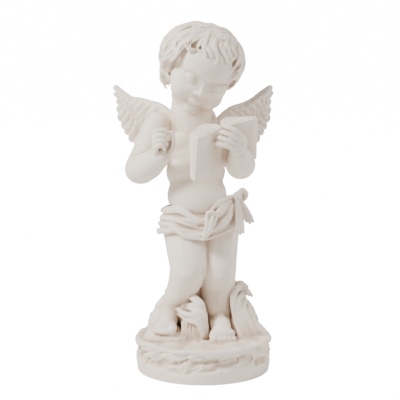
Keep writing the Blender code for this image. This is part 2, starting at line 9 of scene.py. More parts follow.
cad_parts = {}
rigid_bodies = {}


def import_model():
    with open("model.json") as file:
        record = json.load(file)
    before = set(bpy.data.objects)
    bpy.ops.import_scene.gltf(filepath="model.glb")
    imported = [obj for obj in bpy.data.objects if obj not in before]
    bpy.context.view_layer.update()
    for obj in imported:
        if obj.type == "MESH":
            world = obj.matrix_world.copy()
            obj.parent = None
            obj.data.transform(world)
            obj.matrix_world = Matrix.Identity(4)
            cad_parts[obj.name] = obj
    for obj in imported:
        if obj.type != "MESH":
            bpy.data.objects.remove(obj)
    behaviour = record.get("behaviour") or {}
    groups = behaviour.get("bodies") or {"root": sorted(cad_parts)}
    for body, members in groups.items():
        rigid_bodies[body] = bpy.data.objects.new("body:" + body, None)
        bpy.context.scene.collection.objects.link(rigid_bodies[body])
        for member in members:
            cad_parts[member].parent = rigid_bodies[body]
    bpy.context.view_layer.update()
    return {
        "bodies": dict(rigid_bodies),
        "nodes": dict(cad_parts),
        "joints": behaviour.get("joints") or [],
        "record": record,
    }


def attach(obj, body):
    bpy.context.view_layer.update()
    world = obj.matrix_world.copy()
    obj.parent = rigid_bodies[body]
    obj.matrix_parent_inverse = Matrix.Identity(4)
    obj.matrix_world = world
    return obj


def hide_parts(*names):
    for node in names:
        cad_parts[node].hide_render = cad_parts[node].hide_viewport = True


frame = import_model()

# The camera of a plain catalogue picture: a long lens at the height of the cherub's head, looking a little
# down, so the top of the plinth shows.
CAMERA_PLACE = (-0.0048, -1.607, 0.4598)
CAMERA_DIP = math.radians(7.59)
CAMERA_LENS = 101.8

camera = bpy.data.objects.new("camera", bpy.data.cameras.new("camera"))
camera.data.lens = CAMERA_LENS
camera.data.sensor_width = 36
camera.location = CAMERA_PLACE
camera.rotation_euler = (math.radians(90) - CAMERA_DIP, 0, 0)
bpy.context.scene.collection.objects.link(camera)
bpy.context.scene.camera = camera

# The child's body, the first thing the sculptor builds up in clay: a round belly, short arms bent up before
# the breast and short legs, one knee forward. It is laid out in figure units, 450 from the plinth's top, at
# height 0, to the top of the hair; left and right are the viewer's.
FIGURE_HEIGHT = 0.452
FIGURE_UNITS = 450.0
PLINTH_HEIGHT = 0.048
UNIT = FIGURE_HEIGHT / FIGURE_UNITS
FLESH_VOXEL = 1.5
FLESH_SOFTNESS = 7.4
ROUND_END = (0.35, 0.9)
ROLL_SIDES = 14
BALL_FINENESS = 3
BODY_MIDDLE = -12.0
LEFT_SHOULDER = Vector((-64, 0, 304))
LEFT_ELBOW = Vector((-89, -14, 243))
LEFT_WRIST = Vector((-58, -48, 265))
RIGHT_SHOULDER = Vector((34, 4, 293))
RIGHT_ELBOW = Vector((52, -16, 249))
RIGHT_WRIST = Vector((49, -52, 267))
LEFT_HIP = Vector((-30, 6, 155))
LEFT_KNEE = Vector((-21, -22, 103))
LEFT_ANKLE = Vector((-46, -4, 42))
RIGHT_HIP = Vector((22, 8, 152))
RIGHT_KNEE = Vector((22, -5, 99))
RIGHT_ANKLE = Vector((22, 3, 28))
LEFT_SHIN = ([LEFT_KNEE, (-27, -12, 80), (-38, -5, 58), LEFT_ANKLE], [26.5, 24.5, 18.5, 13.5])
RIGHT_SHIN = ([RIGHT_KNEE, (20, 6, 76), (20, 5, 48), RIGHT_ANKLE], [26, 27, 21, 17])
LEFT_FOOT = (Vector((-9, -36, 0)), 12.5, 12)
RIGHT_FOOT = (Vector((6, -44, 0)), 14, 0)


def smooth_path(points, samples):
    """A Catmull-Rom curve through the rows of points, sampled evenly in its parameter."""
    rows = np.asarray(points, float)
    ends = np.vstack([2 * rows[0] - rows[1], rows, 2 * rows[-1] - rows[-2]])
    t = np.linspace(0, len(rows) - 1, samples)
    i = np.minimum(t.astype(int), len(rows) - 2)
    f = (t - i)[:, None]
    a, b, c, d = (ends[i + k] for k in range(4))
    return 0.5 * (2 * b + (c - a) * f + (2 * a - 5 * b + 4 * c - d) * f**2 + (3 * b - a - 3 * c + d) * f**3)


def unit_rows(rows):
    """The rows, each scaled to length one."""
    return rows / np.maximum(np.linalg.norm(rows, axis=1, keepdims=True), 1e-9)


class Clay:
    """Closed lumps and rolls of clay, pressed into one skin by a voxel remesh."""

    def __init__(self):
        self.forms = bmesh.new()

    def ring(self, points):
        """New corners at the points."""
        return [self.forms.verts.new(p) for p in points]

    def ball(self, centre, radii, frame=Matrix(), turn=(0, 0, 0)):
        """An ellipsoid. turn is its rotation about X, Y and Z, in degrees."""
        radii = (radii,) * 3 if isinstance(radii, (int, float)) else radii
        spin = Euler([math.radians(a) for a in turn]).to_matrix().to_4x4()
        place = frame @ Matrix.Translation(centre) @ spin @ Matrix.Diagonal((*radii, 1))
        bmesh.ops.create_icosphere(self.forms, subdivisions=BALL_FINENESS, radius=1, matrix=place)

    def roll(self, points, radii, flat=1.0, facing=(0, -1, 0), frame=Matrix(), outward_from=None):
        """A roll with a half width at each point, flattened along facing or away from a point."""
        rows = np.array([frame @ Vector(p) for p in points])
        samples = max(10, 7 * len(rows))
        path = smooth_path(rows, samples)
        width = np.interp(np.linspace(0, len(rows) - 1, samples), range(len(rows)), radii)
        along = unit_rows(np.gradient(path, axis=0))
        if outward_from is None:
            up = np.tile(np.array(frame.to_3x3() @ Vector(facing)), (samples, 1))
        else:
            up = path - np.array(frame @ Vector(outward_from))
        up = unit_rows(up - (up * along).sum(1, keepdims=True) * along)
        across = np.cross(along, up)
        first, last = along[0] * width[0], along[-1] * width[-1]
        rings = [(path[0] - first * math.cos(a), 0, width[0] * math.sin(a)) for a in ROUND_END]
        rings += [(path[i], i, width[i]) for i in range(samples)]
        rings += [(path[-1] + last * math.cos(a), -1, width[-1] * math.sin(a)) for a in ROUND_END[::-1]]
        angles = np.arange(ROLL_SIDES) * 2 * math.pi / ROLL_SIDES
        loops = []
        for centre, i, half in rings:
            outline = np.outer(np.cos(angles), across[i]) + flat * np.outer(np.sin(angles), up[i])
            loops.append(self.ring(centre + half * outline))
        self.skin_over(loops)

    def skin_over(self, loops):
        """Faces between closed loops of the same count, with both ends filled."""
        count = len(loops[0])
        for lower, upper in zip(loops, loops[1:]):
            for k in range(count):
                n = (k + 1) % count
                self.forms.faces.new((lower[k], lower[n], upper[n], upper[k]))
        self.forms.faces.new(loops[0][::-1])
        self.forms.faces.new(loops[-1])

    def sheet(self, rows, thickness, facing):
        """A slab over the rows of points, its thickness laid half to each side along facing."""
        half = Vector(facing).normalized() * thickness / 2
        front, back = ([self.ring([Vector(p) + s * half for p in row]) for row in rows] for s in (1, -1))
        last, end = len(rows) - 1, len(rows[0]) - 1
        for i in range(last):
            for k in range(end):
                self.forms.faces.new((front[i][k], front[i][k + 1], front[i + 1][k + 1], front[i + 1][k]))
                self.forms.faces.new((back[i][k], back[i + 1][k], back[i + 1][k + 1], back[i][k + 1]))
        rim = [(0, k) for k in range(end)] + [(i, end) for i in range(last)]
        rim += [(last, k) for k in range(end, 0, -1)] + [(i, 0) for i in range(last, 0, -1)]
        for (a, b), (c, d) in zip(rim, rim[1:] + rim[:1]):
            self.forms.faces.new((front[a][b], back[a][b], back[c][d], front[c][d]))

    def add(self, mesh):
        """Adds a mesh that was made before."""
        self.forms.from_mesh(mesh)
        bpy.data.meshes.remove(mesh)

    def fused(self, voxel, rounds):
        """One skin over all the forms, softened by so many rounds of smoothing."""
        mesh = bpy.data.meshes.new("clay")
        bmesh.ops.recalc_face_normals(self.forms, faces=self.forms.faces)
        self.forms.to_mesh(mesh)
        self.forms.free()
        clay = bpy.data.objects.new("clay", mesh)
        bpy.context.scene.collection.objects.link(clay)
        skin = clay.modifiers.new("Skin", "REMESH")
        skin.mode = "VOXEL"
        skin.voxel_size = voxel
        if rounds:
            soften = clay.modifiers.new("Soften", "SMOOTH")
            soften.factor = 0.5
            soften.iterations = rounds
        graph = bpy.context.evaluated_depsgraph_get()
        result = bpy.data.meshes.new_from_object(clay.evaluated_get(graph))
        bpy.data.objects.remove(clay)
        bpy.data.meshes.remove(mesh)
        return result


def skin_rows(mesh, name):
    """The places ("co") or the outward directions ("normal") of a mesh's vertices, as rows."""
    values = np.empty(3 * len(mesh.vertices))
    mesh.vertices.foreach_get(name, values)
    return values.reshape(-1, 3)


class Tool:
    """The sculptor's tools on one skin: hollows pressed into it and ridges raised on it."""

    def __init__(self, mesh):
        self.mesh = mesh
        self.spots, self.normals = skin_rows(mesh, "co"), skin_rows(mesh, "normal")

    def press(self, points, radius, depth, frame=Matrix(), sharp=1.0):
        """Presses a hollow in along the points; with a negative depth it raises a ridge."""
        rows = np.array([frame @ Vector(p) for p in points])
        path = smooth_path(rows, 10 * len(rows)) if len(rows) > 1 else rows
        near = np.all((self.spots > path.min(0) - radius) & (self.spots < path.max(0) + radius), axis=1)
        spots = self.spots[near]
        away = np.min([np.linalg.norm(spots - p, axis=1) for p in path], axis=0)
        fall = np.clip(1 - away / radius, 0, 1)
        fall = (fall * fall * (3 - 2 * fall)) ** sharp
        self.spots[near] -= self.normals[near] * (depth * fall)[:, None]

    def finish(self):
        """The mesh with the tools' marks on it."""
        self.mesh.vertices.foreach_set("co", self.spots.ravel())
        self.mesh.update()
        return self.mesh


def foot(clay, ankle, reach, half, ground):
    """A foot from its ankle to the ball, on rock as high as ground."""
    clay.ball((ankle.x, ankle.y + 7, ground + half), (half, half + 1, half))
    middle = Vector((ankle.x, ankle.y, ground + half)) + reach * 0.45
    front = Vector((ankle.x, ankle.y, ground + half * 0.72)) + reach * 0.85
    clay.roll([ankle, middle + Vector((0, 0, 2)), front], [half + 1, half + 1, half * 0.9])
    clay.ball(front, (half * 1.35, half * 0.9, half * 0.7))


flesh = Clay()
flesh.ball((-7, 7, 166), (52, 38, 34))  # hips
flesh.ball((-9, -6, 205), (43, 34, 36))  # belly
flesh.ball((-11, 2, 238), (43, 31, 34))  # ribs
flesh.ball((-13, 2, 273), (46, 28, 34))  # chest
flesh.ball((-15, 7, 297), (46, 22, 19))  # shoulder girdle
for side in (-1, 1):
    flesh.ball((BODY_MIDDLE + side * 19, -18, 283), (17, 10, 13))  # breast
    flesh.ball((BODY_MIDDLE + side * 23, 20, 282), (20, 14, 26))  # shoulder blade
    flesh.ball((-7 + side * 20, 28, 160), (25, 24, 26))  # buttock
flesh.roll([(-15, 5, 300), (-17, 4, 322), (-12, 4, 345)], [30, 30, 31])
flesh.ball((-14, 16, 312), (34, 20, 22))  # nape
flesh.roll([LEFT_SHOULDER, (-76, -6, 275), LEFT_ELBOW], [20, 20.5, 22.5])
flesh.roll([LEFT_ELBOW, (-75, -32, 252), LEFT_WRIST], [23, 21.5, 15])
flesh.roll([RIGHT_SHOULDER, (45, -4, 272), RIGHT_ELBOW], [19, 20, 21])
flesh.roll([RIGHT_ELBOW, (52, -35, 255), RIGHT_WRIST], [22, 20, 15])
flesh.roll([LEFT_HIP, (-23, -11, 126), LEFT_KNEE], [29, 30, 27])
flesh.roll(*LEFT_SHIN)
flesh.roll([RIGHT_HIP, (21, 2, 125), RIGHT_KNEE], [30, 29, 26])
flesh.roll(*RIGHT_SHIN)
foot(flesh, LEFT_ANKLE, *LEFT_FOOT)
foot(flesh, RIGHT_ANKLE, *RIGHT_FOOT)

# The head, a child's: a big round skull, full cheeks and a small chin, bowed over the book and leaning to
# the viewer's right. The face is calm, with lowered lids.
HEAD_CENTRE = Vector((1.5, -10, 390.5))
HEAD_TURN, HEAD_NOD, HEAD_LEAN = (math.radians(a) for a in (15, 22, 21))

lean = Matrix.Rotation(HEAD_LEAN, 4, "Y")
turn = Matrix.Rotation(HEAD_TURN, 4, "Z")
nod = Matrix.Rotation(HEAD_NOD, 4, "X")
head = Matrix.Translation(HEAD_CENTRE) @ lean @ turn @ nod

flesh.ball((0, 5, 4), (50, 52, 43), head)  # cranium
flesh.ball((0, -20, 9), (41, 30, 30), head)  # forehead
flesh.ball((0, -15, -20), (42, 35, 35), head)  # face
flesh.ball((0, -15, -42), (32, 28, 20), head)  # jaw
flesh.ball((0, -37, -53), (12, 9, 9), head)  # chin
flesh.ball((0, -11, -56), (27, 23, 13), head)  # double chin
for side in (-1, 1):
    flesh.ball((side * 21, -28, -32), (18, 16.5, 18), head)  # cheek
body = flesh.fused(FLESH_VOXEL, round((FLESH_SOFTNESS / FLESH_VOXEL) ** 2))

tool = Tool(body)
for side in (-1, 1):
    tool.press([(side * 13, -46, -10), (side * 25, -42.5, -10)], 14, 2.5, head)  # socket
    tool.press([(side * 11, -48.8, 3.5), (side * 20, -46.2, 5), (side * 30, -39.8, 1)], 8, -0.9, head)  # brow
    tool.press([(side * 12, -49, -25), (side * 15, -47, -38)], 7, 1.2, head)  # edge of the cheek
tool.press([(-14, -46, -47.5), (14, -46, -47.5)], 6, 1.8, head)  # under the lip
for radius, depth, *points in (
    (8, 2.4, (-99, -20, 266), (-86, -34, 270), (-74, -38, 268)),  # crease of the left elbow
    (6, 2.4, (40, -50, 262), (60, -50, 262)),  # crease of the right wrist
    (6, 4, (-9, -44, 191)),  # navel
    (9, 2, (-14, -30, 296), (-12, -32, 262)),  # between the breasts
    (13, 4, (-13, 34, 300), (-11, 36, 240), (-8, 40, 186)),  # spine
    (8, 1.6, (-45, -30, 222), (-10, -42, 218), (26, -30, 222)),  # over the belly
    (8, 3.5, (5, -28, 142), (6, -40, 118), (0, -36, 96)),  # between the thighs
    (6, 2, (36, -10, 30), (22, -16, 28), (8, -10, 30)),  # crease of the right ankle
):
    tool.press(points, radius, depth)
body = tool.finish()

whole = Clay()
whole.add(body)
whole.roll([(0, -44, -8), (0, -46.5, -16), (0, -49.5, -22)], [3.2, 3.8, 4.4], frame=head)  # nose
whole.ball((0, -51, -22.8), (5, 4.6, 4.4), head)
whole.ball((0, -41, -37), (12, 6, 9), head)  # muzzle
for side in (-1, 1):
    whole.ball((side * 5.4, -48.2, -24.8), (3.7, 4.1, 3.1), head)  # wing of the nose
    whole.ball((side * 18.5, -37.6, -9.5), (9.2, 8, 6.2), head)  # eye under its lid
    lid = [(10.5, -43.8, -11.2), (14.5, -44.9, -12.9), (19, -45, -13.4), (24, -43, -12.7), (27.5, -40, -11)]
    whole.roll([(side * x, y, z) for x, y, z in lid], [0.8, 1.2, 1.25, 1.1, 0.7], frame=head)
whole.ball((-48, -4, -20), (6, 8, 11), head)  # ear
lip = [(-10.4, -43.4, -38.6), (-4.4, -46.6, -37.4), (0, -47.1, -38)]
lip += [(4.4, -46.6, -37.4), (10.4, -43.4, -38.6)]
whole.roll(lip, [0.9, 1.8, 1.7, 1.8, 0.9], frame=head)
whole.roll([(-7.5, -44, -40.4), (0, -46.2, -41.6), (7.5, -44, -40.4)], [1.2, 2.1, 1.2], frame=head)

# The hair, carved on the head: short wavy locks combed out from the crown, with a curly fringe, one long
# forelock hooked over the forehead, and tufts over the ears and the nape. Each lock is three strands that
# wave together, and is given by its width and by angles about and down from the crown, in degrees.
HAIR_LINE = ([-110, -100, -84, -66, -52, -44, -30, -14, 0, 20, 36, 52, 75, 90, 135, 180, 225, 250],
             [153, 154, 140, 112, 98, 80, 74, 76, 80, 78, 84, 108, 124, 132, 146, 150, 152, 153])
HAIR_LAYERS = ((11, 5, 0.36), (22, 24, 0.68), (34, 50, 1.0))
FRINGE_EDGE = (-90, 58)
LOCK_WIDTH = 8.6
STRAND_SIDES = 8
STRAND_POINTS = 36
STRAND_GAP = 0.40
STRAND_HALF = 0.235
UNDER_HALF = 0.56
HAND_LAID_LOCKS = (
    (6.5, (-96, 14), (-84, 30), (-84, 48), (-96, 68), (-104, 86), (-104, 104), (-104, 122)),
    (6.5, (-60, 26), (-66, 48), (-76, 64), (-86, 80), (-100, 96), (-104, 112)),
    (6.5, (-44, 30), (-55, 50), (-61, 67), (-76, 86), (-82, 100), (-98, 112), (-102, 124)),
    (6.5, (-36, 39), (-47, 52), (-54, 68), (-62, 80), (-61, 90), (-68, 100), (-86, 112), (-98, 124)),
    (6.0, (-34, 42), (-42, 54), (-45, 70), (-51, 81), (-53, 92), (-60, 104), (-78, 116), (-92, 128)),
    (5.0, (-36, 45), (-38, 60), (-44, 75), (-49, 86), (-51, 96), (-57, 107), (-66, 116)),
    (5.0, (-92, 118), (-92, 127), (-96, 136), (-96, 145)),
    (5.5, (-101, 120), (-98, 131), (-98, 141), (-94, 150), (-88, 157)),
    (5.5, (-108, 118), (-104, 130), (-102, 141), (-104, 152)),
    (7.5, (-26, 36), (-33, 56), (-40, 69), (-41, 78), (-36, 84), (-30, 80)),
    (5.0, (-22, 40), (-25, 58), (-28, 70), (-29, 76)),
    (5.5, (-20, 42), (-22, 56), (-22, 67), (-18, 77), (-13, 84)),
    (5.0, (-13, 46), (-16, 60), (-14, 70), (-9, 78), (-5, 82)),
    (4.5, (-8, 48), (-11, 60), (-9, 68), (-4, 75), (-3, 80)),
    (5.5, (-3, 44), (-8, 56), (-7, 66), (-2, 74), (2, 82), (2, 90)),
    (5.0, (3, 50), (1, 63), (4, 71), (8, 79), (7, 87)),
    (6.0, (14, 46), (10, 58), (9, 66), (14, 74), (18, 83)),
    (5.0, (24, 48), (18, 60), (20, 69), (22, 76), (20, 84)),
    (5.5, (36, 46), (27, 58), (30, 64), (26, 73), (23, 80), (28, 86)),
    (5.5, (50, 46), (45, 60), (39, 72), (33, 82), (29, 90)),
    (6.0, (64, 48), (58, 64), (54, 79), (50, 91), (48, 106)),
    (6.0, (56, 70), (48, 84), (38, 96), (38, 107), (42, 120)),
    (6.5, (-18, 18), (40, 16), (66, 28), (70, 44), (62, 58)),
    (6.0, (-19, 32), (2, 30), (26, 33), (44, 44)),
    (7.0, (-88, 66), (-92, 82), (-89, 98), (-97, 112), (-92, 126), (-98, 138)),
    (6.5, (-76, 78), (-83, 92), (-84, 104), (-91, 118), (-88, 132)),
    (7.0, (-108, 66), (-103, 84), (-109, 100), (-103, 116), (-111, 132), (-105, 146)),
)
TUFTS = [
    (7.0, (-50, -5, -20), (-52, -3, -33), (-46, -2, -43), (-41, -3, -50), (-34, -6, -54)),
    (7.5, (-53, 5, -18), (-54, 7, -31), (-48, 7, -42), (-43, 5, -50), (-36, 2, -54)),
    (7.5, (-51, 15, -18), (-51, 16, -31), (-45, 16, -42), (-41, 14, -50), (-34, 11, -54)),
    (7.5, (-43, 25, -18), (-43, 26, -31), (-38, 26, -42), (-34, 24, -50), (-27, 21, -53)),
]
NAPE_TUFT = ((0, 45, 80, -14), (2, 45, 80, -27), (-2, 39, 90, -38), (2, 33, 110, -47), (0, 27, 110, -51))
for x in range(-33, 34, 11):
    TUFTS.append((8.0, *((x + aside, back - x * x / bend, z) for aside, back, bend, z in NAPE_TUFT)))
HAIR_MASSES = (
    ((-40, 12, -17), (14.5, 18, 27)),
    ((-38, 9, -37), (12, 17, 18)),
    ((33, 18, -16), (13.5, 19, 27)),
    ((-2, 20, -23), (39, 21, 33)),
)
CAP_RINGS = 28
CROWN_TILT = math.radians(24)
SCALP_LEFT, SCALP_RIGHT, SCALP_DEEP, SCALP_HIGH = 61, 53.5, 54.5, 45
SCALP_BACK, SCALP_UP = 6, 5

scalp = Matrix.Rotation(-CROWN_TILT, 4, "X")


def scalp_spot(around, polar, lift):
    """A point of the hair, from angles about the crown, in radians, and a height over the scalp."""
    flat_x, flat_y = math.sin(polar) * math.sin(around), -math.sin(polar) * math.cos(around)
    spot = scalp @ Vector((flat_x, flat_y, math.cos(polar)))
    below = max(0.0, -spot.z)
    x = spot.x * ((SCALP_RIGHT if spot.x > 0 else SCALP_LEFT + 6 * below) + lift)
    y = SCALP_BACK + spot.y * (SCALP_DEEP + lift)
    return Vector((x, y, SCALP_UP + spot.z * (SCALP_HIGH + 12 * below + lift)))


def hair_line(around):
    """The lowest angle of the hair at a turn about the crown, both in degrees."""
    if around > 250:
        around -= 360
    return np.interp(around, *HAIR_LINE)


def combed(rows, lift):
    """Points over the scalp for rows of angles about the crown, in degrees."""
    return [scalp_spot(math.radians(a), math.radians(p), lift) for a, p in rows]


for centre, radii in HAIR_MASSES:
    whole.ball(centre, radii, head)
rings = []
for share in np.linspace(0.02, 1, CAP_RINGS):
    lift = 1.5 - 5.5 * max(0.0, (share - 0.82) / 0.18) ** 2
    edge = [(a, (hair_line(a) - 2) * share) for a in range(-110, 250, 3)]
    rings.append(whole.ring([head @ spot for spot in combed(edge, lift)]))
rings.append(whole.ring([(head @ Vector((0, 8, -24))).lerp(v.co, 0.5) for v in rings[-1]]))
whole.skin_over(rings)


def lay_lock(curve, points, width, phase):
    """Three strands side by side along the points, with a thick one under them."""
    path = smooth_path(points, STRAND_POINTS)
    out = unit_rows(path - np.array((0, SCALP_BACK, 0)))
    along = unit_rows(np.gradient(path, axis=0))
    across = np.cross(along, out)
    t = np.linspace(0, 1, len(path))
    spread = np.sin(math.pi * np.clip(0.18 + 0.78 * t, 0, 1)) ** 0.7
    fade = 1.6 * t**6 + 2.0 * np.clip(1 - 6 * t, 0, 1)
    taper = np.clip(0.12 + 5 * t, 0, 1) * np.sqrt(np.clip(1.05 - t**3, 0.06, 1))
    for strand in (-1, 0, 1, None):
        if strand is None:
            aside, rise, half = 0 * t, -0.5 * width - fade, UNDER_HALF * width
        else:
            aside, half = strand * STRAND_GAP * width * spread, STRAND_HALF * width
            rise = np.sin(8 * t + phase + 1.1 * strand) + 0.9 * (strand == 0) - fade
        spots = path + across * aside[:, None] + out * rise[:, None]
        spline = curve.splines.new("POLY")
        spline.points.add(len(spots) - 1)
        for point, spot, radius in zip(spline.points, spots, half * taper):
            point.co = (*(head @ Vector(spot)), 1)
            point.radius = radius


def hair_strands():
    """A curve with a spline for each strand: the combed layers, then the listed locks laid over them."""
    curve = bpy.data.curves.new("strands", "CURVE")
    curve.dimensions = "3D"
    rng = np.random.default_rng(11)
    for layer, (count, start, share) in enumerate(HAIR_LAYERS):
        for k in range(count):
            around = 360 * (k + 0.5 * layer + rng.uniform(-0.18, 0.18)) / count
            around -= 360 * (around > 250)
            in_front = FRINGE_EDGE[0] < around < FRINGE_EDGE[1]
            limit = 60 if in_front else hair_line(around) + rng.uniform(-2, 5)
            if in_front and layer == 2:
                continue
            end = start + (limit - start) * share * rng.uniform(0.94, 1.05)
            phase = math.radians(around) * 2 + 1.7 * layer + rng.uniform(-0.5, 0.5)
            hook = rng.uniform(-9, 9)
            rows = []
            for t in np.linspace(0, 1, 9):
                polar = start + (end - start) * t
                wave = 9.5 * math.sin(8.5 * t + phase) * (0.3 + 0.7 * t) + hook * t**3
                rows.append((around + wave / max(0.4, math.sin(math.radians(polar))), polar))
            lay_lock(curve, combed(rows, rng.uniform(0.6, 2.4)), LOCK_WIDTH * rng.uniform(0.85, 1.15), phase)
    for k, (width, *rows) in enumerate(HAND_LAID_LOCKS):
        lay_lock(curve, combed(rows, 1.6 + 1.6 * math.sin(1.9 * k) ** 2), width * 1.18, 1.7 * k)
    for k, (width, *points) in enumerate(TUFTS):
        lay_lock(curve, points, width * 1.15, 2.3 * k)
    return bpy.data.objects.new("strands", curve)


def new_tree(name, inputs):
    """A node tree with a geometry input and output and the named inputs, and what its inputs give."""
    tree = bpy.data.node_groups.new(name, "GeometryNodeTree")
    for label, kind in (("Geometry", "Geometry"), *inputs):
        tree.interface.new_socket(label, in_out="INPUT", socket_type="NodeSocket" + kind)
    tree.interface.new_socket("Geometry", in_out="OUTPUT", socket_type="NodeSocketGeometry")
    return tree, tree.nodes.new("NodeGroupInput").outputs


def joined(tree, kind, sockets, **settings):
    """A new node with its sockets set to values or linked to other nodes' outputs."""
    node = tree.nodes.new(kind)
    for name, value in settings.items():
        setattr(node, name, value)
    for name, value in sockets.items():
        if isinstance(value, bpy.types.NodeSocket):
            tree.links.new(value, node.inputs[name])
        else:
            node.inputs[name].default_value = value
    return node


def grown(source, tree, settings):
    """The plain mesh that the node tree makes of the source object, which is used up."""
    bpy.context.scene.collection.objects.link(source)
    growth = source.modifiers.new("Growth", "NODES")
    growth.node_group = tree
    for socket in tree.interface.items_tree:
        if socket.name in settings:
            growth[socket.identifier] = settings[socket.name]
    graph = bpy.context.evaluated_depsgraph_get()
    mesh = bpy.data.meshes.new_from_object(source.evaluated_get(graph))
    bpy.data.objects.remove(source)
    return mesh


def close_with_stone(tree, geometry, given):
    """Ends a tree in plain mesh with the stone on it."""
    real = joined(tree, "GeometryNodeRealizeInstances", {"Geometry": geometry}).outputs["Geometry"]
    painted = joined(tree, "GeometryNodeSetMaterial", {"Geometry": real, "Material": given["Stone"]})
    joined(tree, "NodeGroupOutput", {"Geometry": painted.outputs["Geometry"]})


stone = bpy.data.materials.new("white cast stone")
tree, given = new_tree("carved strands", (("Strand Sides", "Int"), ("Stone", "Material")))
ring = joined(tree, "GeometryNodeCurvePrimitiveCircle", {"Resolution": given["Strand Sides"], "Radius": 1.0})
tube = joined(tree, "GeometryNodeCurveToMesh", {
    "Curve": given["Geometry"], "Profile Curve": ring.outputs["Curve"], "Fill Caps": True})
close_with_stone(tree, tube.outputs["Mesh"], given)
whole.add(grown(hair_strands(), tree, {"Strand Sides": STRAND_SIDES, "Stone": stone}))

# The hands and the toes. The viewer's left hand is a loose fist before the breast with its thumb up; the
# right one holds the book by its back, four fingers on the cover.
whole.ball((-57.5, -48.5, 278), (14, 9, 17))
whole.ball((-47, -50, 283), (6, 4, 13))
for k, (width, height) in enumerate(((20.5, 301), (19.5, 293.5), (17, 286.5), (12, 280))):
    middle = -57.5 - 0.5 * k
    front = -60 - 1.2 * k
    bend = [(middle - width / 2, front + 5, height - 12), (middle - 0.45 * width, front, height - 4)]
    bend += [(middle - 0.16 * width, front - 3, height), (middle + 0.22 * width, front - 2.6, height - 0.3)]
    bend += [(middle + 0.5 * width, front + 2, height - 5)]
    whole.roll(bend, [3.4, 3.4, 3.3, 3.2, 2.9])
thumb = [(-52, -52, 264), (-46, -54, 270), (-42, -56, 279), (-41, -57, 288)]
thumb += [(-42, -58, 295.5), (-45, -59, 298)]
whole.roll(thumb, [5, 4.6, 3.4, 3, 3, 2.6])
whole.ball((47, -61, 281), (12.5, 9.5, 16), turn=(-14, 22, 0))
whole.ball((37, -65, 292), (9, 6, 11), turn=(-14, 22, 0))
for k in range(4):
    reach = [(54.5 - 3 * k, -63, 289.5 - 6 * k), (50 - 3.6 * k, -70, 296 - 6.3 * k)]
    reach += [(41.3 - 4 * k, -74, 302.3 - 7.2 * k), (32.7 - 4.3 * k, -73, 306 - 7.5 * k)]
    reach += [(29 - 4.3 * k, -69.5, 306.3 - 7.5 * k)]
    whole.roll(reach, [3.8, 3.6, 3.5, 3.3, 2.8])


def toes(ankle, inner, reach, half, ground):
    """Five toes; inner is the side of the big one."""
    ball_of_foot = Vector((ankle.x, ankle.y, ground)) + reach * 0.95
    aside = Vector((inner, 0, 0))
    for k in range(5):
        spread = half * (0.95 - 0.50 * k)
        size = half * (0.50, 0.38, 0.36, 0.34, 0.30)[k]
        ahead = reach.normalized() * half * (0.66, 0.70, 0.60, 0.44, 0.22)[k]
        root = ball_of_foot + aside * spread + Vector((0, 0, size * 1.1))
        tip = root + ahead + Vector((0, 0, -size * 0.25))
        knuckle = root.lerp(tip, 0.5) + Vector((0, 0, size * 0.2))
        whole.roll([root, knuckle, tip], [size * 0.9, size * 0.85, size])


toes(LEFT_ANKLE, 1, *LEFT_FOOT)
toes(RIGHT_ANKLE, -1, *RIGHT_FOOT)

# The open book, its covers to the viewer and its top tipped forward. The block of pages bulges beside the
# gutter and its edge is cut in a few coarse leaves.
BOOK_HEIGHT = 0.064 / UNIT
BOOK_HALF_WIDTH = 0.056 / UNIT
BOOK_HALF_THICKNESS = 0.0125 / UNIT
BOOK_COVER = 0.0022 / UNIT
BOOK_TIP = math.radians(20)
BOOK_LEAVES = 7
BOOK_SPINE_FOOT = Vector((26, -36, 246))

for side, opening in ((-1, -49), (1, 31)):
    spread = Matrix.Rotation(math.radians(opening * side), 4, "Z")
    half = Matrix.Translation(BOOK_SPINE_FOOT) @ Matrix.Rotation(BOOK_TIP, 4, "X") @ spread
    half = half @ Matrix.Diagonal((side, 1, 1, 1))
    narrowing, thickening = (0.13, 0.6) if side < 0 else (0.0, 0.1)
    edge = 1.15 if side < 0 else 0.55
    cover = [(BOOK_HALF_WIDTH * t, -2.2 * math.sin(math.pi * t)) for t in np.linspace(0, 1, 9)]
    outlines = [(cover + [(x, y + BOOK_COVER) for x, y in cover[::-1]], 0, BOOK_HEIGHT)]
    swell = 1.45 if side < 0 else 2.0
    bulge = [(0.02, 0.6), (0.1, 0.72 * swell), (0.25, swell), (0.45, swell)]
    bulge += [(0.7, 0.45 * (swell + edge)), (0.965, edge)]
    for leaf in range(BOOK_LEAVES):
        ends = [(leaf + s) / BOOK_LEAVES for s in (-0.05, 1.0)]
        low, high = (BOOK_COVER + (BOOK_HALF_THICKNESS - BOOK_COVER) * share for share in ends)
        inset = 0.5 if leaf % 2 else 1.5
        leaf_line = [(BOOK_HALF_WIDTH * t - inset * 0.6 * (t > 0.9), v) for t, v in bulge]
        shape = [(x, v * low - 1.2) for x, v in leaf_line] + [(x, v * high - 1.2) for x, v in leaf_line[::-1]]
        outlines.append((shape, inset, BOOK_HEIGHT - inset + 2.5 * ends[1]))
    for shape, foot_z, head_z in outlines:
        loops = []
        for z in (foot_z, head_z):
            thin, thick = 1.04 - narrowing * z / BOOK_HEIGHT, 0.8 + thickening * z / BOOK_HEIGHT
            loops.append(whole.ring([half @ Vector((x * thin, y * thick, z)) for x, y in shape]))
        whole.skin_over(loops)

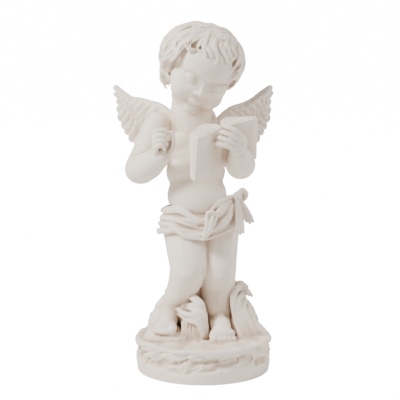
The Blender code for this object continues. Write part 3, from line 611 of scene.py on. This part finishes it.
# The loincloth, one strip slung round the hips and tied on the viewer's right, its folds fanning out of the
# knot; a flap hangs over in front and two tails hang from the knot.
CLOTH_THICKNESS = 0.0045 / UNIT
CLOTH_TOP = ([0, 25, 35, 59, 73, 80, 91, 112, 126, 150, 180, 230, 290, 330, 360],
             [204, 205, 205, 199, 185, 175, 177, 188, 187, 184, 183, 187, 193, 200, 204])
CLOTH_FOOT = ([0, 12, 32, 59, 79, 105, 120, 138, 154, 180, 230, 290, 330, 360],
              [163, 162, 157, 150, 145, 147, 154, 156, 150, 147, 146, 148, 154, 163])
CLOTH_LEVELS = 34
HIPS_X, HIPS_Y, HIPS_WIDE, HIPS_DEEP, SEAT = -7, 5, 56, 41, 10


def hip_point(angle, height, out):
    """A point on the hips' skin, angle in degrees from the viewer's right by way of the front."""
    share = (height - 150) / 50
    turn = math.radians(angle)
    wide = HIPS_WIDE - 8 * share + out
    deep = HIPS_DEEP - 2 * share - SEAT * min(0.0, math.sin(turn)) + out
    return Vector((HIPS_X + wide * math.cos(turn), HIPS_Y - deep * math.sin(turn), height))


rings = [[] for _ in range(CLOTH_LEVELS)]
angles = np.arange(0, 360, 2)
for a in angles:
    high, low = np.interp(a, *CLOTH_TOP), np.interp(a, *CLOTH_FOOT)
    run = (a if a < 215 else 360 - a) * 0.95 + 12
    for i in range(CLOTH_LEVELS):
        share = i / (CLOTH_LEVELS - 1)
        z = high + (low - high) * share
        fan = math.atan2(206 - z, run)
        fold = math.sin(fan * (26 + 0.12 * run) + 0.02 * run)
        crisp = math.copysign(abs(fold) ** 0.7, fold) + 0.25 * math.sin(2.3 * fan * (26 + 0.12 * run) + 1)
        out = CLOTH_THICKNESS * (0.5 + 0.5 * crisp) * (1 - 0.6 * (2 * share - 1) ** 10)
        rings[i].append(whole.forms.verts.new(hip_point(a, z, out)))
top, bottom = (whole.ring([hip_point(a, z, -14) for a in angles]) for z in (190, 150))
rings = [top, *rings, bottom]
for upper, lower in zip(rings, rings[1:] + rings[:1]):
    for k in range(len(angles)):
        n = (k + 1) % len(angles)
        whole.forms.faces.new((upper[k], lower[k], lower[n], upper[n]))


def lay_fold(rows, widths, out, flat=0.9):
    """A rolled fold over the hips, its rows the angle round them and the height."""
    whole.roll([hip_point(a, z, out) for a, z in rows], widths, flat, outward_from=(HIPS_X, HIPS_Y, 175))


hem = [(a, np.interp(a, *CLOTH_TOP) - 2) for a in range(10, 352, 12)]
lay_fold(hem, [2.5 + 0.5 * math.sin(a / 17) for a, _ in hem], 2.2)
hem = [(a, np.interp(a, *CLOTH_FOOT) + 1.5) for a in range(6, 355, 12)]
lay_fold(hem, [2.2 + 0.4 * math.sin(a / 13) for a, _ in hem], 1.6)
CLOTH_FOLDS = (
    ((3, 200), (47, 190), (66, 177), (80, 168)),
    ((2, 197), (35, 178), (54, 167.5), (72, 157)),
    ((0, 194), (12, 178), (28, 161), (34, 158)),
    ((0, 198), (25, 190), (45, 178), (63, 163)),
    ((86, 161), (108, 168), (132, 173), (160, 172), (200, 170), (240, 172)),
    ((84, 156), (108, 158.5), (131, 164), (166, 163.5), (205, 161), (240, 162)),
    ((92, 170), (104, 180), (118, 186), (132, 187), (150, 185), (180, 181)),
    ((90, 150), (110, 151), (123, 158.5), (142, 155), (174, 152.5), (200, 152)),
    ((358, 198), (335, 184), (310, 174), (285, 168), (250, 166)),
    ((356, 194), (338, 172), (318, 161), (296, 156), (270, 155)),
    ((359, 200), (330, 192), (300, 185), (270, 181), (230, 179)),
)
for k, rows in enumerate(CLOTH_FOLDS):
    middle = [4.8 - 0.5 * (k % 3)] * (len(rows) - 2)
    lay_fold(rows, [2.6, *middle, 1.8], 2.4, 0.62)
for widths, *points in (
    ((2.5, 5, 5.5, 2.5), (12, -40, 182), (10, -42, 172), (6, -43, 158), (0, -42, 147)),
    ((2.2, 2.5, 2.4, 1.5), (5.5, -43.5, 184), (4.5, -45.5, 170), (2.5, -46, 158), (-1, -44, 146)),
    ((2.2, 2.5, 2.4, 1.5), (14, -42, 184), (11.5, -44.5, 171), (7.5, -46, 159), (1, -44.5, 147)),
    ((2.2, 2.6, 2.0), (5, -44, 184.5), (12, -44.5, 186.5), (19.5, -41, 180)),
    ((1.6, 2.0, 1.4), (19.5, -41, 181), (15.5, -43, 169), (8, -45, 156)),
):
    whole.roll(points, widths, 0.8)
whole.ball((48, -5, 203), (7, 8, 7))
loop = [(48, -6, 205), (55, -4, 211), (60, 0, 205), (56, 0, 198), (49, -3, 200)]
whole.roll(loop, [4, 4.5, 5, 4.5, 4], 0.7)
for points in (
    [(50, -7, 200), (58, -9, 184), (66, -9, 165)],
    [(47, -10, 199), (51, -16, 176), (52, -18, 151)],
    [(51, 2, 199), (59, 4, 182), (65, 6, 168)],
):
    for aside in (-1, 0, 1):
        spread = [Vector((aside * s, 0, abs(aside) * s * 0.5)) for s in (0.8, 3.2, 4.6)]
        path = [Vector(p) + s for p, s in zip(points, spread)]
        whole.roll(path, [2.2, 2.6, 2.4], 0.9)

# The wings, small and half open, cast in one with the shoulders: a rolled front edge, and on each face six
# rows of feathers that overlap like tiles, the long ones lowest. Every feather has a shaft and barbs.
WING_THICKNESS = 0.006 / UNIT
WING_ARMS = {
    -1: ((20, 30, 294), (35, 34, 314), (51, 41, 327), (66, 47, 332),
         (80, 52, 336), (93, 57, 338), (104, 61, 345), (116, 66, 354)),
    1: ((20, 30, 288), (35, 34, 306), (48, 40, 319), (58, 44, 325),
        (71, 49, 329), (84, 54, 335), (98, 60, 345), (112, 66, 354)),
}
WING_ARM_WIDTHS = (8.5, 7.5, 6.2, 5.4, 5, 4.7, 4.6, 4.8)
WING_TIPS = ((46, 36, 254), (70, 48, 258), (88, 56, 267), (98, 60, 279), (105, 63, 292),
             (112, 66, 306), (113, 68, 320), (112, 68, 334), (117, 68, 350))
FEATHER_ROWS = ((10, 1.0, 0.15, 14.5), (11, 0.83, 0.45, 12.5), (11, 0.67, 0.72, 11.5), (11, 0.52, 0.98, 10.5),
                (10, 0.38, 1.22, 9.5), (9, 0.25, 1.42, 8.5))
FEATHER_THICKNESS = 3.6
BARBS = 20
FEATHER_STEPS = 52
FEATHER_COLUMNS = 8


def feather_shape():
    """One feather, a unit long along Y and wide along X, with a round end, a shaft and slanting barbs."""
    shape = Clay()
    loops = []
    for t in np.linspace(0, 1, FEATHER_STEPS):
        round_end = math.sqrt(max(0.0, 1 - (max(0.0, t - 0.8) / 0.2) ** 2))
        wide = max(0.03, (0.30 + 0.2 * math.sin(math.pi * min(1.0, t / 0.7) / 2)) * round_end)
        line, under = [], []
        for x in np.linspace(-1, 1, FEATHER_COLUMNS + 1):
            barb = 0.16 * math.sin(2 * math.pi * (BARBS * t - 1.1 * abs(x))) * min(1, 3 * abs(x))
            shaft = 0.16 * math.exp(-((x / 0.2) ** 2))
            lifted_end = 0.55 * max(0.0, (t - 0.7) / 0.3)
            line.append((x * wide, t, 0.42 * (1 - 0.6 * x * x) + shaft + barb + lifted_end))
            under.append((x * wide, t, -0.5))
        loops.append(shape.ring(line + under[::-1]))
    shape.skin_over(loops)
    mesh = bpy.data.meshes.new("feather")
    bmesh.ops.recalc_face_normals(shape.forms, faces=shape.forms.faces)
    shape.forms.to_mesh(mesh)
    shape.forms.free()
    return bpy.data.objects.new("feather", mesh)


def feather_roots(side):
    """A point for each feather of a wing, with its aim, its facing and its size."""
    reach_x = 1 if side < 0 else 0.98
    facing = Vector((-side * 0.38, -0.92, 0)).normalized()

    def at(row):
        return Vector((BODY_MIDDLE + side * row[0] * reach_x, row[1], row[2]))

    roots, tips = smooth_path(WING_ARMS[side], 50), smooth_path(WING_TIPS, 50)
    roots[:, 2] -= 3
    spread = np.linspace(0, 1, 5)[None, :, None]
    rows = roots[:, None] * (1 - spread) + (roots[:, None] * 0.05 + tips[:, None] * 0.95) * spread
    whole.sheet([[at(p) for p in row] for row in rows[::2]], WING_THICKNESS, facing)
    whole.roll([at(p) for p in WING_ARMS[side]], WING_ARM_WIDTHS, 0.8, (-side * 0.35, -1, 0))
    places, aims, faces, sizes = [], [], [], []
    for row, (count, reach, lift, width) in enumerate(FEATHER_ROWS):
        for k in range(count):
            t = int(49 * (k + (0.5, 0.1)[row % 2]) / count)
            for face in (1, -1):
                start = at(roots[t]) + facing * face * WING_THICKNESS * (0.35 + 0.5 * lift)
                end = at(roots[t] + (tips[t] - roots[t]) * reach)
                end += facing * face * WING_THICKNESS * lift * 0.6
                places.append(start)
                aims.append((end - start).normalized())
                faces.append(facing * face)
                sizes.append((width, (end - start).length, FEATHER_THICKNESS))
    mesh = bpy.data.meshes.new("roots")
    mesh.from_pydata(places, [], [])
    for name, values in (("aim", aims), ("facing", faces), ("size", sizes)):
        layer = mesh.attributes.new(name, "FLOAT_VECTOR", "POINT")
        layer.data.foreach_set("vector", np.array(values).ravel())
    return bpy.data.objects.new("roots", mesh)


tree, given = new_tree("laid feathers", (("Feather", "Object"), ("Stone", "Material")))
pattern = joined(tree, "GeometryNodeObjectInfo", {"Object": given["Feather"]})
readings = {}
for name in ("aim", "facing", "size"):
    reading = joined(tree, "GeometryNodeInputNamedAttribute", {"Name": name}, data_type="FLOAT_VECTOR")
    readings[name] = reading.outputs["Attribute"]
along = joined(tree, "FunctionNodeAlignRotationToVector", {"Vector": readings["aim"]}, axis="Y")
upward = joined(tree, "FunctionNodeAlignRotationToVector", {
    "Rotation": along.outputs["Rotation"], "Vector": readings["facing"]}, axis="Z", pivot_axis="Y")
laid = joined(tree, "GeometryNodeInstanceOnPoints", {
    "Points": given["Geometry"], "Instance": pattern.outputs["Geometry"],
    "Rotation": upward.outputs["Rotation"], "Scale": readings["size"]})
close_with_stone(tree, laid.outputs["Instances"], given)
feather = feather_shape()
for side in (-1, 1):
    whole.add(grown(feather_roots(side), tree, {"Feather": feather, "Stone": stone}))
bpy.data.objects.remove(feather)

# The rock that carries the legs from behind, in one with the plinth: smaller stones heaped on big ones, a
# fluted stump with curling leaves between the feet, and long folds of a hanging plant on the viewer's right.
STONES = 26
ROCKS = [
    ((-4, 28, 0), (64, 36, 66)),
    ((-58, 12, 0), (24, 28, 44)),
    ((-48, 16, 28), (24, 22, 30)),
    ((-54, -18, 0), (31, 30, 19)),
    ((-44, -34, 2), (22, 18, 12)),
    ((58, 12, 0), (24, 28, 52)),
    ((72, 2, -2), (20, 18, 22)),
    ((-24, -10, 38), (13, 13, 24)),
    ((-16, -20, 12), (16, 16, 22)),
    ((-8, -19, 30), (14, 13, 26)),
    ((0, -20, 8), (9, 16, 22)),
    ((24, -44, -3), (28, 20, 6)),
    ((2, -50, -2), (16, 12, 6)),
]
for centre, radii in ROCKS:
    whole.ball(centre, radii)
for k in range(STONES):
    around = math.radians(-5 + 190 * ((k * 0.618) % 1))
    high = 8 + 52 * ((k * 0.755 + 0.1) % 1)
    reach = math.sqrt(1 - (high / 72) ** 2)
    size = 15 + 4 * math.sin(k * 2.1)
    spot = (-2 + 65 * reach * math.cos(around), 26 + 32 * reach * math.sin(around), high * 0.95)
    whole.ball(spot, (size * 1.1, size, size * 0.8), turn=(20 * math.sin(k), 25 * math.cos(k * 1.7), 40 * k))
    ROCKS.append((spot, (size, size, size)))
for widths, *points in (
    ((6, 5, 4.2, 4.6, 5), (52, 2, 70), (45, -7, 65), (42.5, -12, 49), (47, -14, 27), (55, -20, 2)),
    ((5, 4.2, 4.2, 4.6, 5), (58, 2, 60), (51, -8, 54), (50, -12, 39), (57, -13, 21), (67, -17, 0)),
    ((5, 4.2, 4.2, 4.6, 5), (60, 0, 50), (56, -6, 42), (61, -8, 26), (72, -9, 13), (81, -11, 0)),
    ((5, 4.2, 4.2, 4.6, 4), (64, 4, 44), (66, 0, 30), (75, -2, 18), (86, -4, 8), (92, -5, 0)),
    ((4, 6, 4), (46, 4, 74), (54, 3, 74), (62, 3, 70)),
    ((3.5, 5.5, 2.5), (56, 2, 66), (64, 2, 62), (70, 2, 57)),
    ((3.5, 5.5, 3), (58, 2, 49), (65, 2, 42), (68, 2, 34)),
):
    whole.roll(points, widths, 0.85)
for points in (
    ((52, 6, 64), (48, -6, 52), (49, -11, 38), (56, -15, 16), (62, -18, 0)),
    ((58, 4, 54), (55, -5, 45), (57, -9, 33), (65, -12, 17), (74, -13, 0)),
    ((60, 6, 46), (62, -2, 36), (68, -5, 22), (79, -8, 8), (86, -9, 0)),
):
    whole.roll(points, [5, 7, 8, 8, 7], 0.6)
for widths, *points in (
    ((2.5, 5.5, 6, 3.5), (-23, -16, 62), (-13, -28, 59.5), (-4, -32, 52), (-1, -32, 42)),
    ((2.5, 3.5, 3), (-24, -18, 48), (-13, -30, 50.5), (-5, -33, 45)),
    ((3, 4.5, 5, 4.5, 3), (-24, -20, 45), (-9, -34, 43), (-0.5, -35, 36), (2, -34, 28), (-0.5, -33, 18)),
    ((2.5, 4, 4.5, 4, 3), (-38, -16, 43), (-27, -31, 38), (-16, -35, 37), (-6, -37, 31), (-1, -37, 22)),
    ((3, 4, 4.5, 4.5, 3.5), (-37, -17, 37), (-22, -33, 30), (-10, -37, 27), (-4, -38, 20), (-1, -38, 8)),
):
    whole.roll(points, widths, 0.7, (0.1, -1, 0.4))
for k in range(6):
    x = -29 + 5.0 * k
    whole.roll([(x, -32, 26), (x + 0.6, -36, 13), (x + 1, -40, -2)], [2.4, 2.5, 2.7], 0.9)  # flutes

# The plinth, a round block hacked to look like rock, in one with the rock on it: a lumpy top with a rounded
# lip, slanting beds under it, and a plain foot.
PLINTH_RADIUS = 0.0995 / UNIT
PLINTH_DEPTH = PLINTH_HEIGHT / UNIT
PLINTH_TURNS = 300
PLINTH_LEVELS = 48
PLINTH_TOP_RINGS = (0.05, 0.2, 0.35, 0.5, 0.62, 0.73, 0.82, 0.89, 0.94)
LIP_DROP = 2.6
BED_HEIGHT, BED_SLANT, BED_TURN = 12, 46, math.radians(50)
SHALLOWEST_HACK, DEEPEST_HACK = 0.2, 7.0
LIP_BULGES = ((-76, 13, 8.5), (-165, 13, 5), (-8, 12, 3.5), (62, 20, 5), (128, 16, 4))


def lip_depth(a):
    """How far down the rounded lip hangs at an angle round the plinth, in radians."""
    turned = [((math.degrees(a) - middle + 180) % 360 - 180) / spread for middle, spread, _ in LIP_BULGES]
    return LIP_DROP + sum(drop * math.exp(-t * t) for t, (_, _, drop) in zip(turned, LIP_BULGES))


def top_lumps(x, y):
    """The height of the lumpy top of the plinth."""
    return 1.4 + 3.2 * noise.noise(Vector((x, y, 0)) * 0.045) + 1.6 * noise.noise(Vector((x, y, 60)) * 0.11)


def ridges(spot):
    """Sharp natural ridges, from about 0 in the clefts to 2 on the crests."""
    return noise.ridged_multi_fractal(spot, 0.9, 2.1, 4, 1.0, 2.0)


def strata(a, down):
    """How deep the rock is hacked: slanting beds on the viewer's left, level ones on the right."""
    bed = (down + BED_SLANT * math.cos(a + BED_TURN)) / BED_HEIGHT
    hack = 6.4 - 3.3 * ridges(Vector((math.cos(a) * 3.2, math.sin(a) * 3.2, bed)))
    return min(DEEPEST_HACK, max(SHALLOWEST_HACK, hack))


loops = []
turns = [2 * math.pi * k / PLINTH_TURNS for k in range(PLINTH_TURNS)]
for share in PLINTH_TOP_RINGS:
    spots = [(PLINTH_RADIUS * share * math.cos(a), PLINTH_RADIUS * share * math.sin(a)) for a in turns]
    loops.append(whole.ring([(x, y, top_lumps(x, y)) for x, y in spots]))
for level in range(PLINTH_LEVELS + 1):
    down = 1.04 * PLINTH_DEPTH * level / PLINTH_LEVELS
    spots = []
    for a in turns:
        under = min(1.0, max(0.0, (down - lip_depth(a)) / 2.2))
        plain = min(1.0, max(0.0, (down - 25 - 4 * math.sin(3 * a + 1)) / 8))
        r = PLINTH_RADIUS * (1 - 0.04 * (down / PLINTH_DEPTH) ** 2) - 3.4 * max(0.0, 1 - down / 4) ** 2
        r -= under * (1 - plain * plain * (3 - 2 * plain)) * strata(a, down)
        rim = top_lumps(PLINTH_RADIUS * math.cos(a), PLINTH_RADIUS * math.sin(a)) * max(0.0, 1 - down / 6)
        spots.append((r * math.cos(a), r * math.sin(a), rim - down))
    loops.append(whole.ring(spots))
whole.skin_over(loops[::-1])

# The cast itself: the mould takes the whole figure with its plinth as one piece of white stone. Slanting
# gouges and pits are cut in the plinth's band and fine lines in the face and the cloth, the rock is
# roughened, and the piece is trimmed flat underneath.
CAST_VOXEL = 0.85
CAST_TRIANGLES = 196000
BAND_RADIUS = PLINTH_RADIUS * 0.985
GOUGES = 40
PITS = 44
ROCK_TOP = 74
FLESH_MARGIN = 2.5

cast = whole.fused(CAST_VOXEL, 1)
tool = Tool(cast)
rng = np.random.default_rng(5)
for k in range(GOUGES):
    a = 2 * math.pi * (k + rng.uniform(-0.3, 0.3)) / GOUGES
    low = PLINTH_DEPTH * rng.uniform(0.26, 0.58)
    reach, slope = rng.uniform(0.08, 0.2), rng.uniform(2, 9) * (1 if math.cos(a + 0.4) < 0.45 else 0.3)
    width, depth = rng.uniform(3.4, 7.0), rng.uniform(2.6, 5.2)
    cut = zip((a - reach / 2, a, a + reach / 2), (-0.5, 0.1, 0.5))
    cut = [(BAND_RADIUS * math.cos(t), BAND_RADIUS * math.sin(t), -low + slope * i) for t, i in cut]
    tool.press(cut, width, depth, sharp=0.7)
for k in range(PITS):
    a, low = rng.uniform(0, 2 * math.pi), PLINTH_DEPTH * rng.uniform(0.2, 0.68)
    tool.press([(BAND_RADIUS * math.cos(a), BAND_RADIUS * math.sin(a), -low)],
               rng.uniform(2.2, 4.2), rng.uniform(1.2, 2.6))
for side in (-1, 1):
    crease = [(11, -45, -6.5), (15, -45.4, -4.2), (20, -45, -3.8), (27, -41, -6.4)]
    tool.press([(side * x, y, z) for x, y, z in crease], 2.2, 0.7, head)  # over the eyelid
    tool.press([(side * 12, -44, -13.6), (side * 19, -44.6, -15.2), (side * 26, -41, -13.6)], 1.7, 0.9, head)
    tool.press([(side * 2.8, -52, -26.6)], 2.2, 1.6, head)  # nostril
mouth = [(-10.6, -44.5, -39.3), (-5, -48, -39.3), (0, -48.7, -39.9), (5, -48, -39.3), (10.6, -44.5, -39.3)]
tool.press(mouth, 1.6, 0.9, head)
tool.press([(0, -50.5, -29), (0, -49.5, -34)], 2.4, 0.7, head)  # groove under the nose
for row in (0, 1, 4, 5):
    between = zip(CLOTH_FOLDS[row], CLOTH_FOLDS[row + 1])
    groove = [hip_point((a + b) / 2, (z + w) / 2, 4) for (a, z), (b, w) in between]
    tool.press(groove, 3.4, 2.6, sharp=0.8)


def rock_share(spots):
    """How far each spot belongs to the rock, from 0 to 1."""
    share = np.clip(-spots[:, 2] / 2, 0, 1)
    for centre, radii in ROCKS:
        inside = np.linalg.norm((spots - centre) / radii, axis=1) - 1
        share = np.maximum(share, np.clip((0.10 - inside) / 0.06, 0, 1) * (inside > -0.5))
    return share


def flesh_distance(spots):
    """How far each spot is from the skin of the lower legs and the feet."""
    limbs = [LEFT_SHIN, RIGHT_SHIN]
    for ankle, (reach, *_), drop, widths in (
        (LEFT_ANKLE, LEFT_FOOT, 12, [14, 15, 17]),
        (RIGHT_ANKLE, RIGHT_FOOT, 10, [17, 17, 19]),
    ):
        instep = ankle + reach * 0.5 - Vector((0, 0, drop))
        limbs.append(([ankle, instep, ankle + reach - Vector((0, 0, drop + 10))], widths))
    distance = np.full(len(spots), 99.0)
    for points, widths in limbs:
        path = smooth_path(points, 30)
        width = np.interp(np.linspace(0, len(points) - 1, 30), range(len(points)), widths)
        for spot, half in zip(path, width):
            distance = np.minimum(distance, np.linalg.norm(spots - spot, axis=1) - half)
    return distance


low = np.flatnonzero(tool.spots[:, 2] < ROCK_TOP)
share = rock_share(tool.spots[low])
beside_flesh = np.clip((flesh_distance(tool.spots[low]) - FLESH_MARGIN) / 3, 0, 1)
share *= np.where(tool.spots[low, 2] > -1, beside_flesh, 1)
for i, part in zip(low[share > 0], share[share > 0]):
    x, y, z = tool.spots[i]
    a = math.atan2(y, x)
    if z < -1:
        shift = 0.25 * noise.noise(Vector((math.cos(a) * 3, math.sin(a) * 3, z * 1.1)))
    else:
        shift = part * (1.7 * ridges(Vector((x, y, z * 0.7)) * 0.045) - 2.0)
    tool.spots[i] += tool.normals[i] * shift
cast = tool.finish()
statue = bpy.data.objects.new("cherub_statue_cast", cast)
bpy.context.scene.collection.objects.link(statue)
thin = statue.modifiers.new("Thin", "DECIMATE")
thin.ratio = CAST_TRIANGLES / (2 * len(cast.polygons))
graph = bpy.context.evaluated_depsgraph_get()
trimmed = bpy.data.meshes.new_from_object(statue.evaluated_get(graph))
statue.modifiers.clear()
solid = bmesh.new()
solid.from_mesh(trimmed)
everything = solid.verts[:] + solid.edges[:] + solid.faces[:]
foot_plane = {"plane_co": (0, 0, -PLINTH_DEPTH), "plane_no": (0, 0, -1)}
bmesh.ops.bisect_plane(solid, geom=everything, clear_outer=True, **foot_plane)
bmesh.ops.contextual_create(solid, geom=[e for e in solid.edges if e.is_boundary])
bmesh.ops.triangulate(solid, faces=solid.faces)
bmesh.ops.recalc_face_normals(solid, faces=solid.faces)
solid.to_mesh(trimmed)
solid.free()
trimmed.transform(Matrix.Translation((0, 0, PLINTH_HEIGHT)) @ Matrix.Scale(UNIT, 4))
trimmed.polygons.foreach_set("use_smooth", [True] * len(trimmed.polygons))
statue.data = trimmed
bpy.data.meshes.remove(cast)

# The stone's finish after years out of doors, the same on the whole cast: dust settled in the hollows
# together with painted shade darkening them, rubbed edges, cloudiness, grain, small pores, and the faint
# lines of the mould round the foot.
STONE_COLOUR = (0.79, 0.65, 0.515, 1)
# The colour of the dust, and of the shade painted into the hollows.
DUST_AND_SHADE_COLOUR = (0.44, 0.325, 0.225, 1)
RUBBED_COLOUR = (0.90, 0.79, 0.68, 1)
CLOUD_SIZE = 24.0
GRAIN_SIZE = 950.0
FINE_HOLLOWS = (6, 0.0004)
BROAD_HOLLOWS = (80, 0.002)


def evened(mesh, values, rounds):
    """The vertices' values, each taken over its neighbours so many rounds."""
    count = len(mesh.vertices)
    ends = np.empty(2 * len(mesh.edges), np.int32)
    mesh.edges.foreach_get("vertices", ends)
    here, there = np.concatenate([ends[::2], ends[1::2]]), np.concatenate([ends[1::2], ends[::2]])
    near = np.bincount(here, minlength=count)
    for _ in range(rounds):
        values = np.bincount(here, values[there], count) / near
    return values


def hollow_depths(mesh, rounds, full):
    """How far each vertex lies under a skin smoothed so many rounds, as a share of the depth that is full."""
    spots = skin_rows(mesh, "co")
    smooth = np.stack([evened(mesh, spots[:, k], rounds) for k in range(3)], 1)
    return np.clip(((smooth - spots) * skin_rows(mesh, "normal")).sum(1) / full, -1, 1)


# How deep each vertex lies in a hollow: the finish darkens the stone there, partly as dust and partly as
# painted shade.
depths = 0.5 * hollow_depths(trimmed, *FINE_HOLLOWS) + 0.5 * hollow_depths(trimmed, *BROAD_HOLLOWS)
layer = trimmed.attributes.new("hollow", "FLOAT", "POINT")
layer.data.foreach_set("value", 0.5 + 0.5 * evened(trimmed, depths, 3))

finish = bpy.data.node_groups.new("weathered stone with painted shade", "ShaderNodeTree")
for way, sockets in (
    ("INPUT", {"Stone": "Color", "Dust": "Color", "Rubbed": "Color", "Hollow": "Float", "Cloud Size": "Float",
               "Grain Size": "Float"}),
    ("OUTPUT", {"Colour": "Color", "Roughness": "Float", "Height": "Float"}),
):
    for name, kind in sockets.items():
        finish.interface.new_socket(name, in_out=way, socket_type="NodeSocket" + kind)
given, result = finish.nodes.new("NodeGroupInput").outputs, finish.nodes.new("NodeGroupOutput").inputs
place = finish.nodes.new("ShaderNodeTexCoord").outputs["Object"]


def math_of(operation, a, b):
    """The result of one sum on two values."""
    return joined(finish, "ShaderNodeMath", {0: a, 1: b}, operation=operation).outputs["Value"]


def ramp_of(value, low, high, to_low=0.0, to_high=1.0):
    """The value eased from one range into another."""
    ends = {"From Min": low, "From Max": high, "To Min": to_low, "To Max": to_high}
    ramp = joined(finish, "ShaderNodeMapRange", {"Value": value, **ends}, interpolation_type="SMOOTHSTEP")
    return ramp.outputs["Result"]


def blend_of(share, a, b):
    """The colour a passing into b by the share."""
    return joined(finish, "ShaderNodeMix", {0: share, 6: a, 7: b}, data_type="RGBA").outputs[2]


def noise_of(vector, scale, detail):
    """Soft noise over the stone."""
    sockets = {"Vector": vector, "Scale": scale, "Detail": detail}
    return joined(finish, "ShaderNodeTexNoise", sockets).outputs["Fac"]


cloud = noise_of(place, given["Cloud Size"], 5.0)
grain = noise_of(place, given["Grain Size"], 3.0)
pores = joined(finish, "ShaderNodeTexVoronoi", {"Vector": place, "Scale": 420.0}).outputs["Distance"]
patches = noise_of(place, 45.0, 2.0)
pores = math_of("MULTIPLY", ramp_of(pores, 0.12, 0.3, 1.0, 0.0), ramp_of(patches, 0.55, 0.66))
lines = joined(finish, "ShaderNodeMapping", {"Vector": place, "Scale": (9.0, 9.0, 900.0)}).outputs["Vector"]
lines = noise_of(lines, 1.0, 2.0)
height = joined(finish, "ShaderNodeSeparateXYZ", {"Vector": place}).outputs["Z"]
lines = math_of("MULTIPLY", math_of("SUBTRACT", lines, 0.5), ramp_of(height, 0.014, 0.024, 1.0, 0.0))
# Dust and painted shade: the deeper the hollow, the darker the stone, as the shade falls in creases; the
# cloudiness adds dust.
dust_and_shade = math_of("MULTIPLY", ramp_of(given["Hollow"], 0.5, 1.0), 0.75)
dust_and_shade = math_of("ADD", dust_and_shade, ramp_of(cloud, 0.45, 0.8, 0.0, 0.2))
rubbed = math_of("MULTIPLY", ramp_of(given["Hollow"], 0.46, 0.2), 0.7)
colour = blend_of(dust_and_shade, given["Stone"], given["Dust"])
colour = blend_of(rubbed, colour, given["Rubbed"])
colour = blend_of(math_of("MULTIPLY", pores, 0.22), colour, given["Dust"])
speckle = math_of("ADD", ramp_of(grain, 0.35, 0.65, -0.03, 0.03), 1.0)
speckled = joined(finish, "ShaderNodeHueSaturation", {"Color": colour, "Value": speckle})
finish.links.new(speckled.outputs["Color"], result["Colour"])
rough = math_of("ADD", ramp_of(cloud, 0.3, 0.7, 0.62, 0.8), math_of("MULTIPLY", dust_and_shade, 0.14))
finish.links.new(math_of("SUBTRACT", rough, math_of("MULTIPLY", rubbed, 0.12)), result["Roughness"])
relief = math_of("ADD", math_of("MULTIPLY", grain, 0.35), math_of("MULTIPLY", cloud, 0.5))
relief = math_of("SUBTRACT", relief, math_of("MULTIPLY", pores, 0.7))
finish.links.new(math_of("ADD", relief, math_of("MULTIPLY", lines, 1.6)), result["Height"])

stone.use_nodes = True
shader = stone.node_tree.nodes["Principled BSDF"]
# The hollow depths drive the dust and the painted shade in the finish.
hollow = joined(stone.node_tree, "ShaderNodeAttribute", {}, attribute_name="hollow").outputs["Fac"]
surface = joined(stone.node_tree, "ShaderNodeGroup", {}, node_tree=finish)
stone.node_tree.links.new(hollow, surface.inputs["Hollow"])
for name, value in (("Stone", STONE_COLOUR), ("Dust", DUST_AND_SHADE_COLOUR), ("Rubbed", RUBBED_COLOUR),
                    ("Cloud Size", CLOUD_SIZE), ("Grain Size", GRAIN_SIZE)):
    surface.inputs[name].default_value = value
bump = joined(stone.node_tree, "ShaderNodeBump", {
    "Height": surface.outputs["Height"], "Strength": 0.5, "Distance": 0.0008})
stone.node_tree.links.new(surface.outputs["Colour"], shader.inputs["Base Color"])
stone.node_tree.links.new(surface.outputs["Roughness"], shader.inputs["Roughness"])
stone.node_tree.links.new(bump.outputs["Normal"], shader.inputs["Normal"])
shader.inputs["Specular IOR Level"].default_value = 0.3
trimmed.materials.clear()
trimmed.materials.append(stone)
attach(statue, "root")
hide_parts("cherub_statue")

# The studio: a floor of white paper and a white backdrop, seen burnt out as on a light table and lighting the
# statue softly, a window's light from the front left, and a weak lamp on the right.
FLOOR_HALF = 6.0
BACKDROP_LIGHT = 0.3
BACKDROP_SEEN = 16.0
LAMPS = (("window", (-1.6, -1.0, 2.0), 0.7, 135), ("fill", (1.7, 0.1, 1.1), 0.9, 30))
LAMPS_AIM = Vector((0, 0, 0.25))

floor_mesh = bpy.data.meshes.new("floor")
corners = [(x * FLOOR_HALF, y * FLOOR_HALF, 0) for x, y in ((-1, -1), (1, -1), (1, 1), (-1, 1))]
floor_mesh.from_pydata(corners, [], [(0, 1, 2, 3)])
floor = bpy.data.objects.new("floor", floor_mesh)
bpy.context.scene.collection.objects.link(floor)
paper = bpy.data.materials.new("white paper")
paper.use_nodes = True
sheen = paper.node_tree.nodes["Principled BSDF"]
sheen.inputs["Base Color"].default_value = (0.9, 0.9, 0.9, 1)
sheen.inputs["Roughness"].default_value = 0.9
sheen.inputs["Emission Color"].default_value = (1, 1, 1, 1)
seen = joined(paper.node_tree, "ShaderNodeLightPath", {}).outputs["Is Camera Ray"]
glow = joined(paper.node_tree, "ShaderNodeMath", {0: seen, 1: BACKDROP_SEEN}, operation="MULTIPLY")
paper.node_tree.links.new(glow.outputs["Value"], sheen.inputs["Emission Strength"])
floor_mesh.materials.append(paper)

world = bpy.data.worlds.new("studio")
bpy.context.scene.world = world
world.use_nodes = True
backdrop = world.node_tree.nodes["Background"]
backdrop.inputs["Color"].default_value = (1, 1, 1, 1)
seen = joined(world.node_tree, "ShaderNodeLightPath", {}).outputs["Is Camera Ray"]
strength = joined(world.node_tree, "ShaderNodeMapRange", {
    "Value": seen, "To Min": BACKDROP_LIGHT, "To Max": BACKDROP_SEEN})
world.node_tree.links.new(strength.outputs["Result"], backdrop.inputs["Strength"])
for name, place, size, power in LAMPS:
    lamp = bpy.data.objects.new(name, bpy.data.lights.new(name, "AREA"))
    lamp.data.size = size
    lamp.data.energy = power
    lamp.location = place
    lamp.rotation_euler = (LAMPS_AIM - lamp.location).to_track_quat("-Z", "Y").to_euler()
    bpy.context.scene.collection.objects.link(lamp)
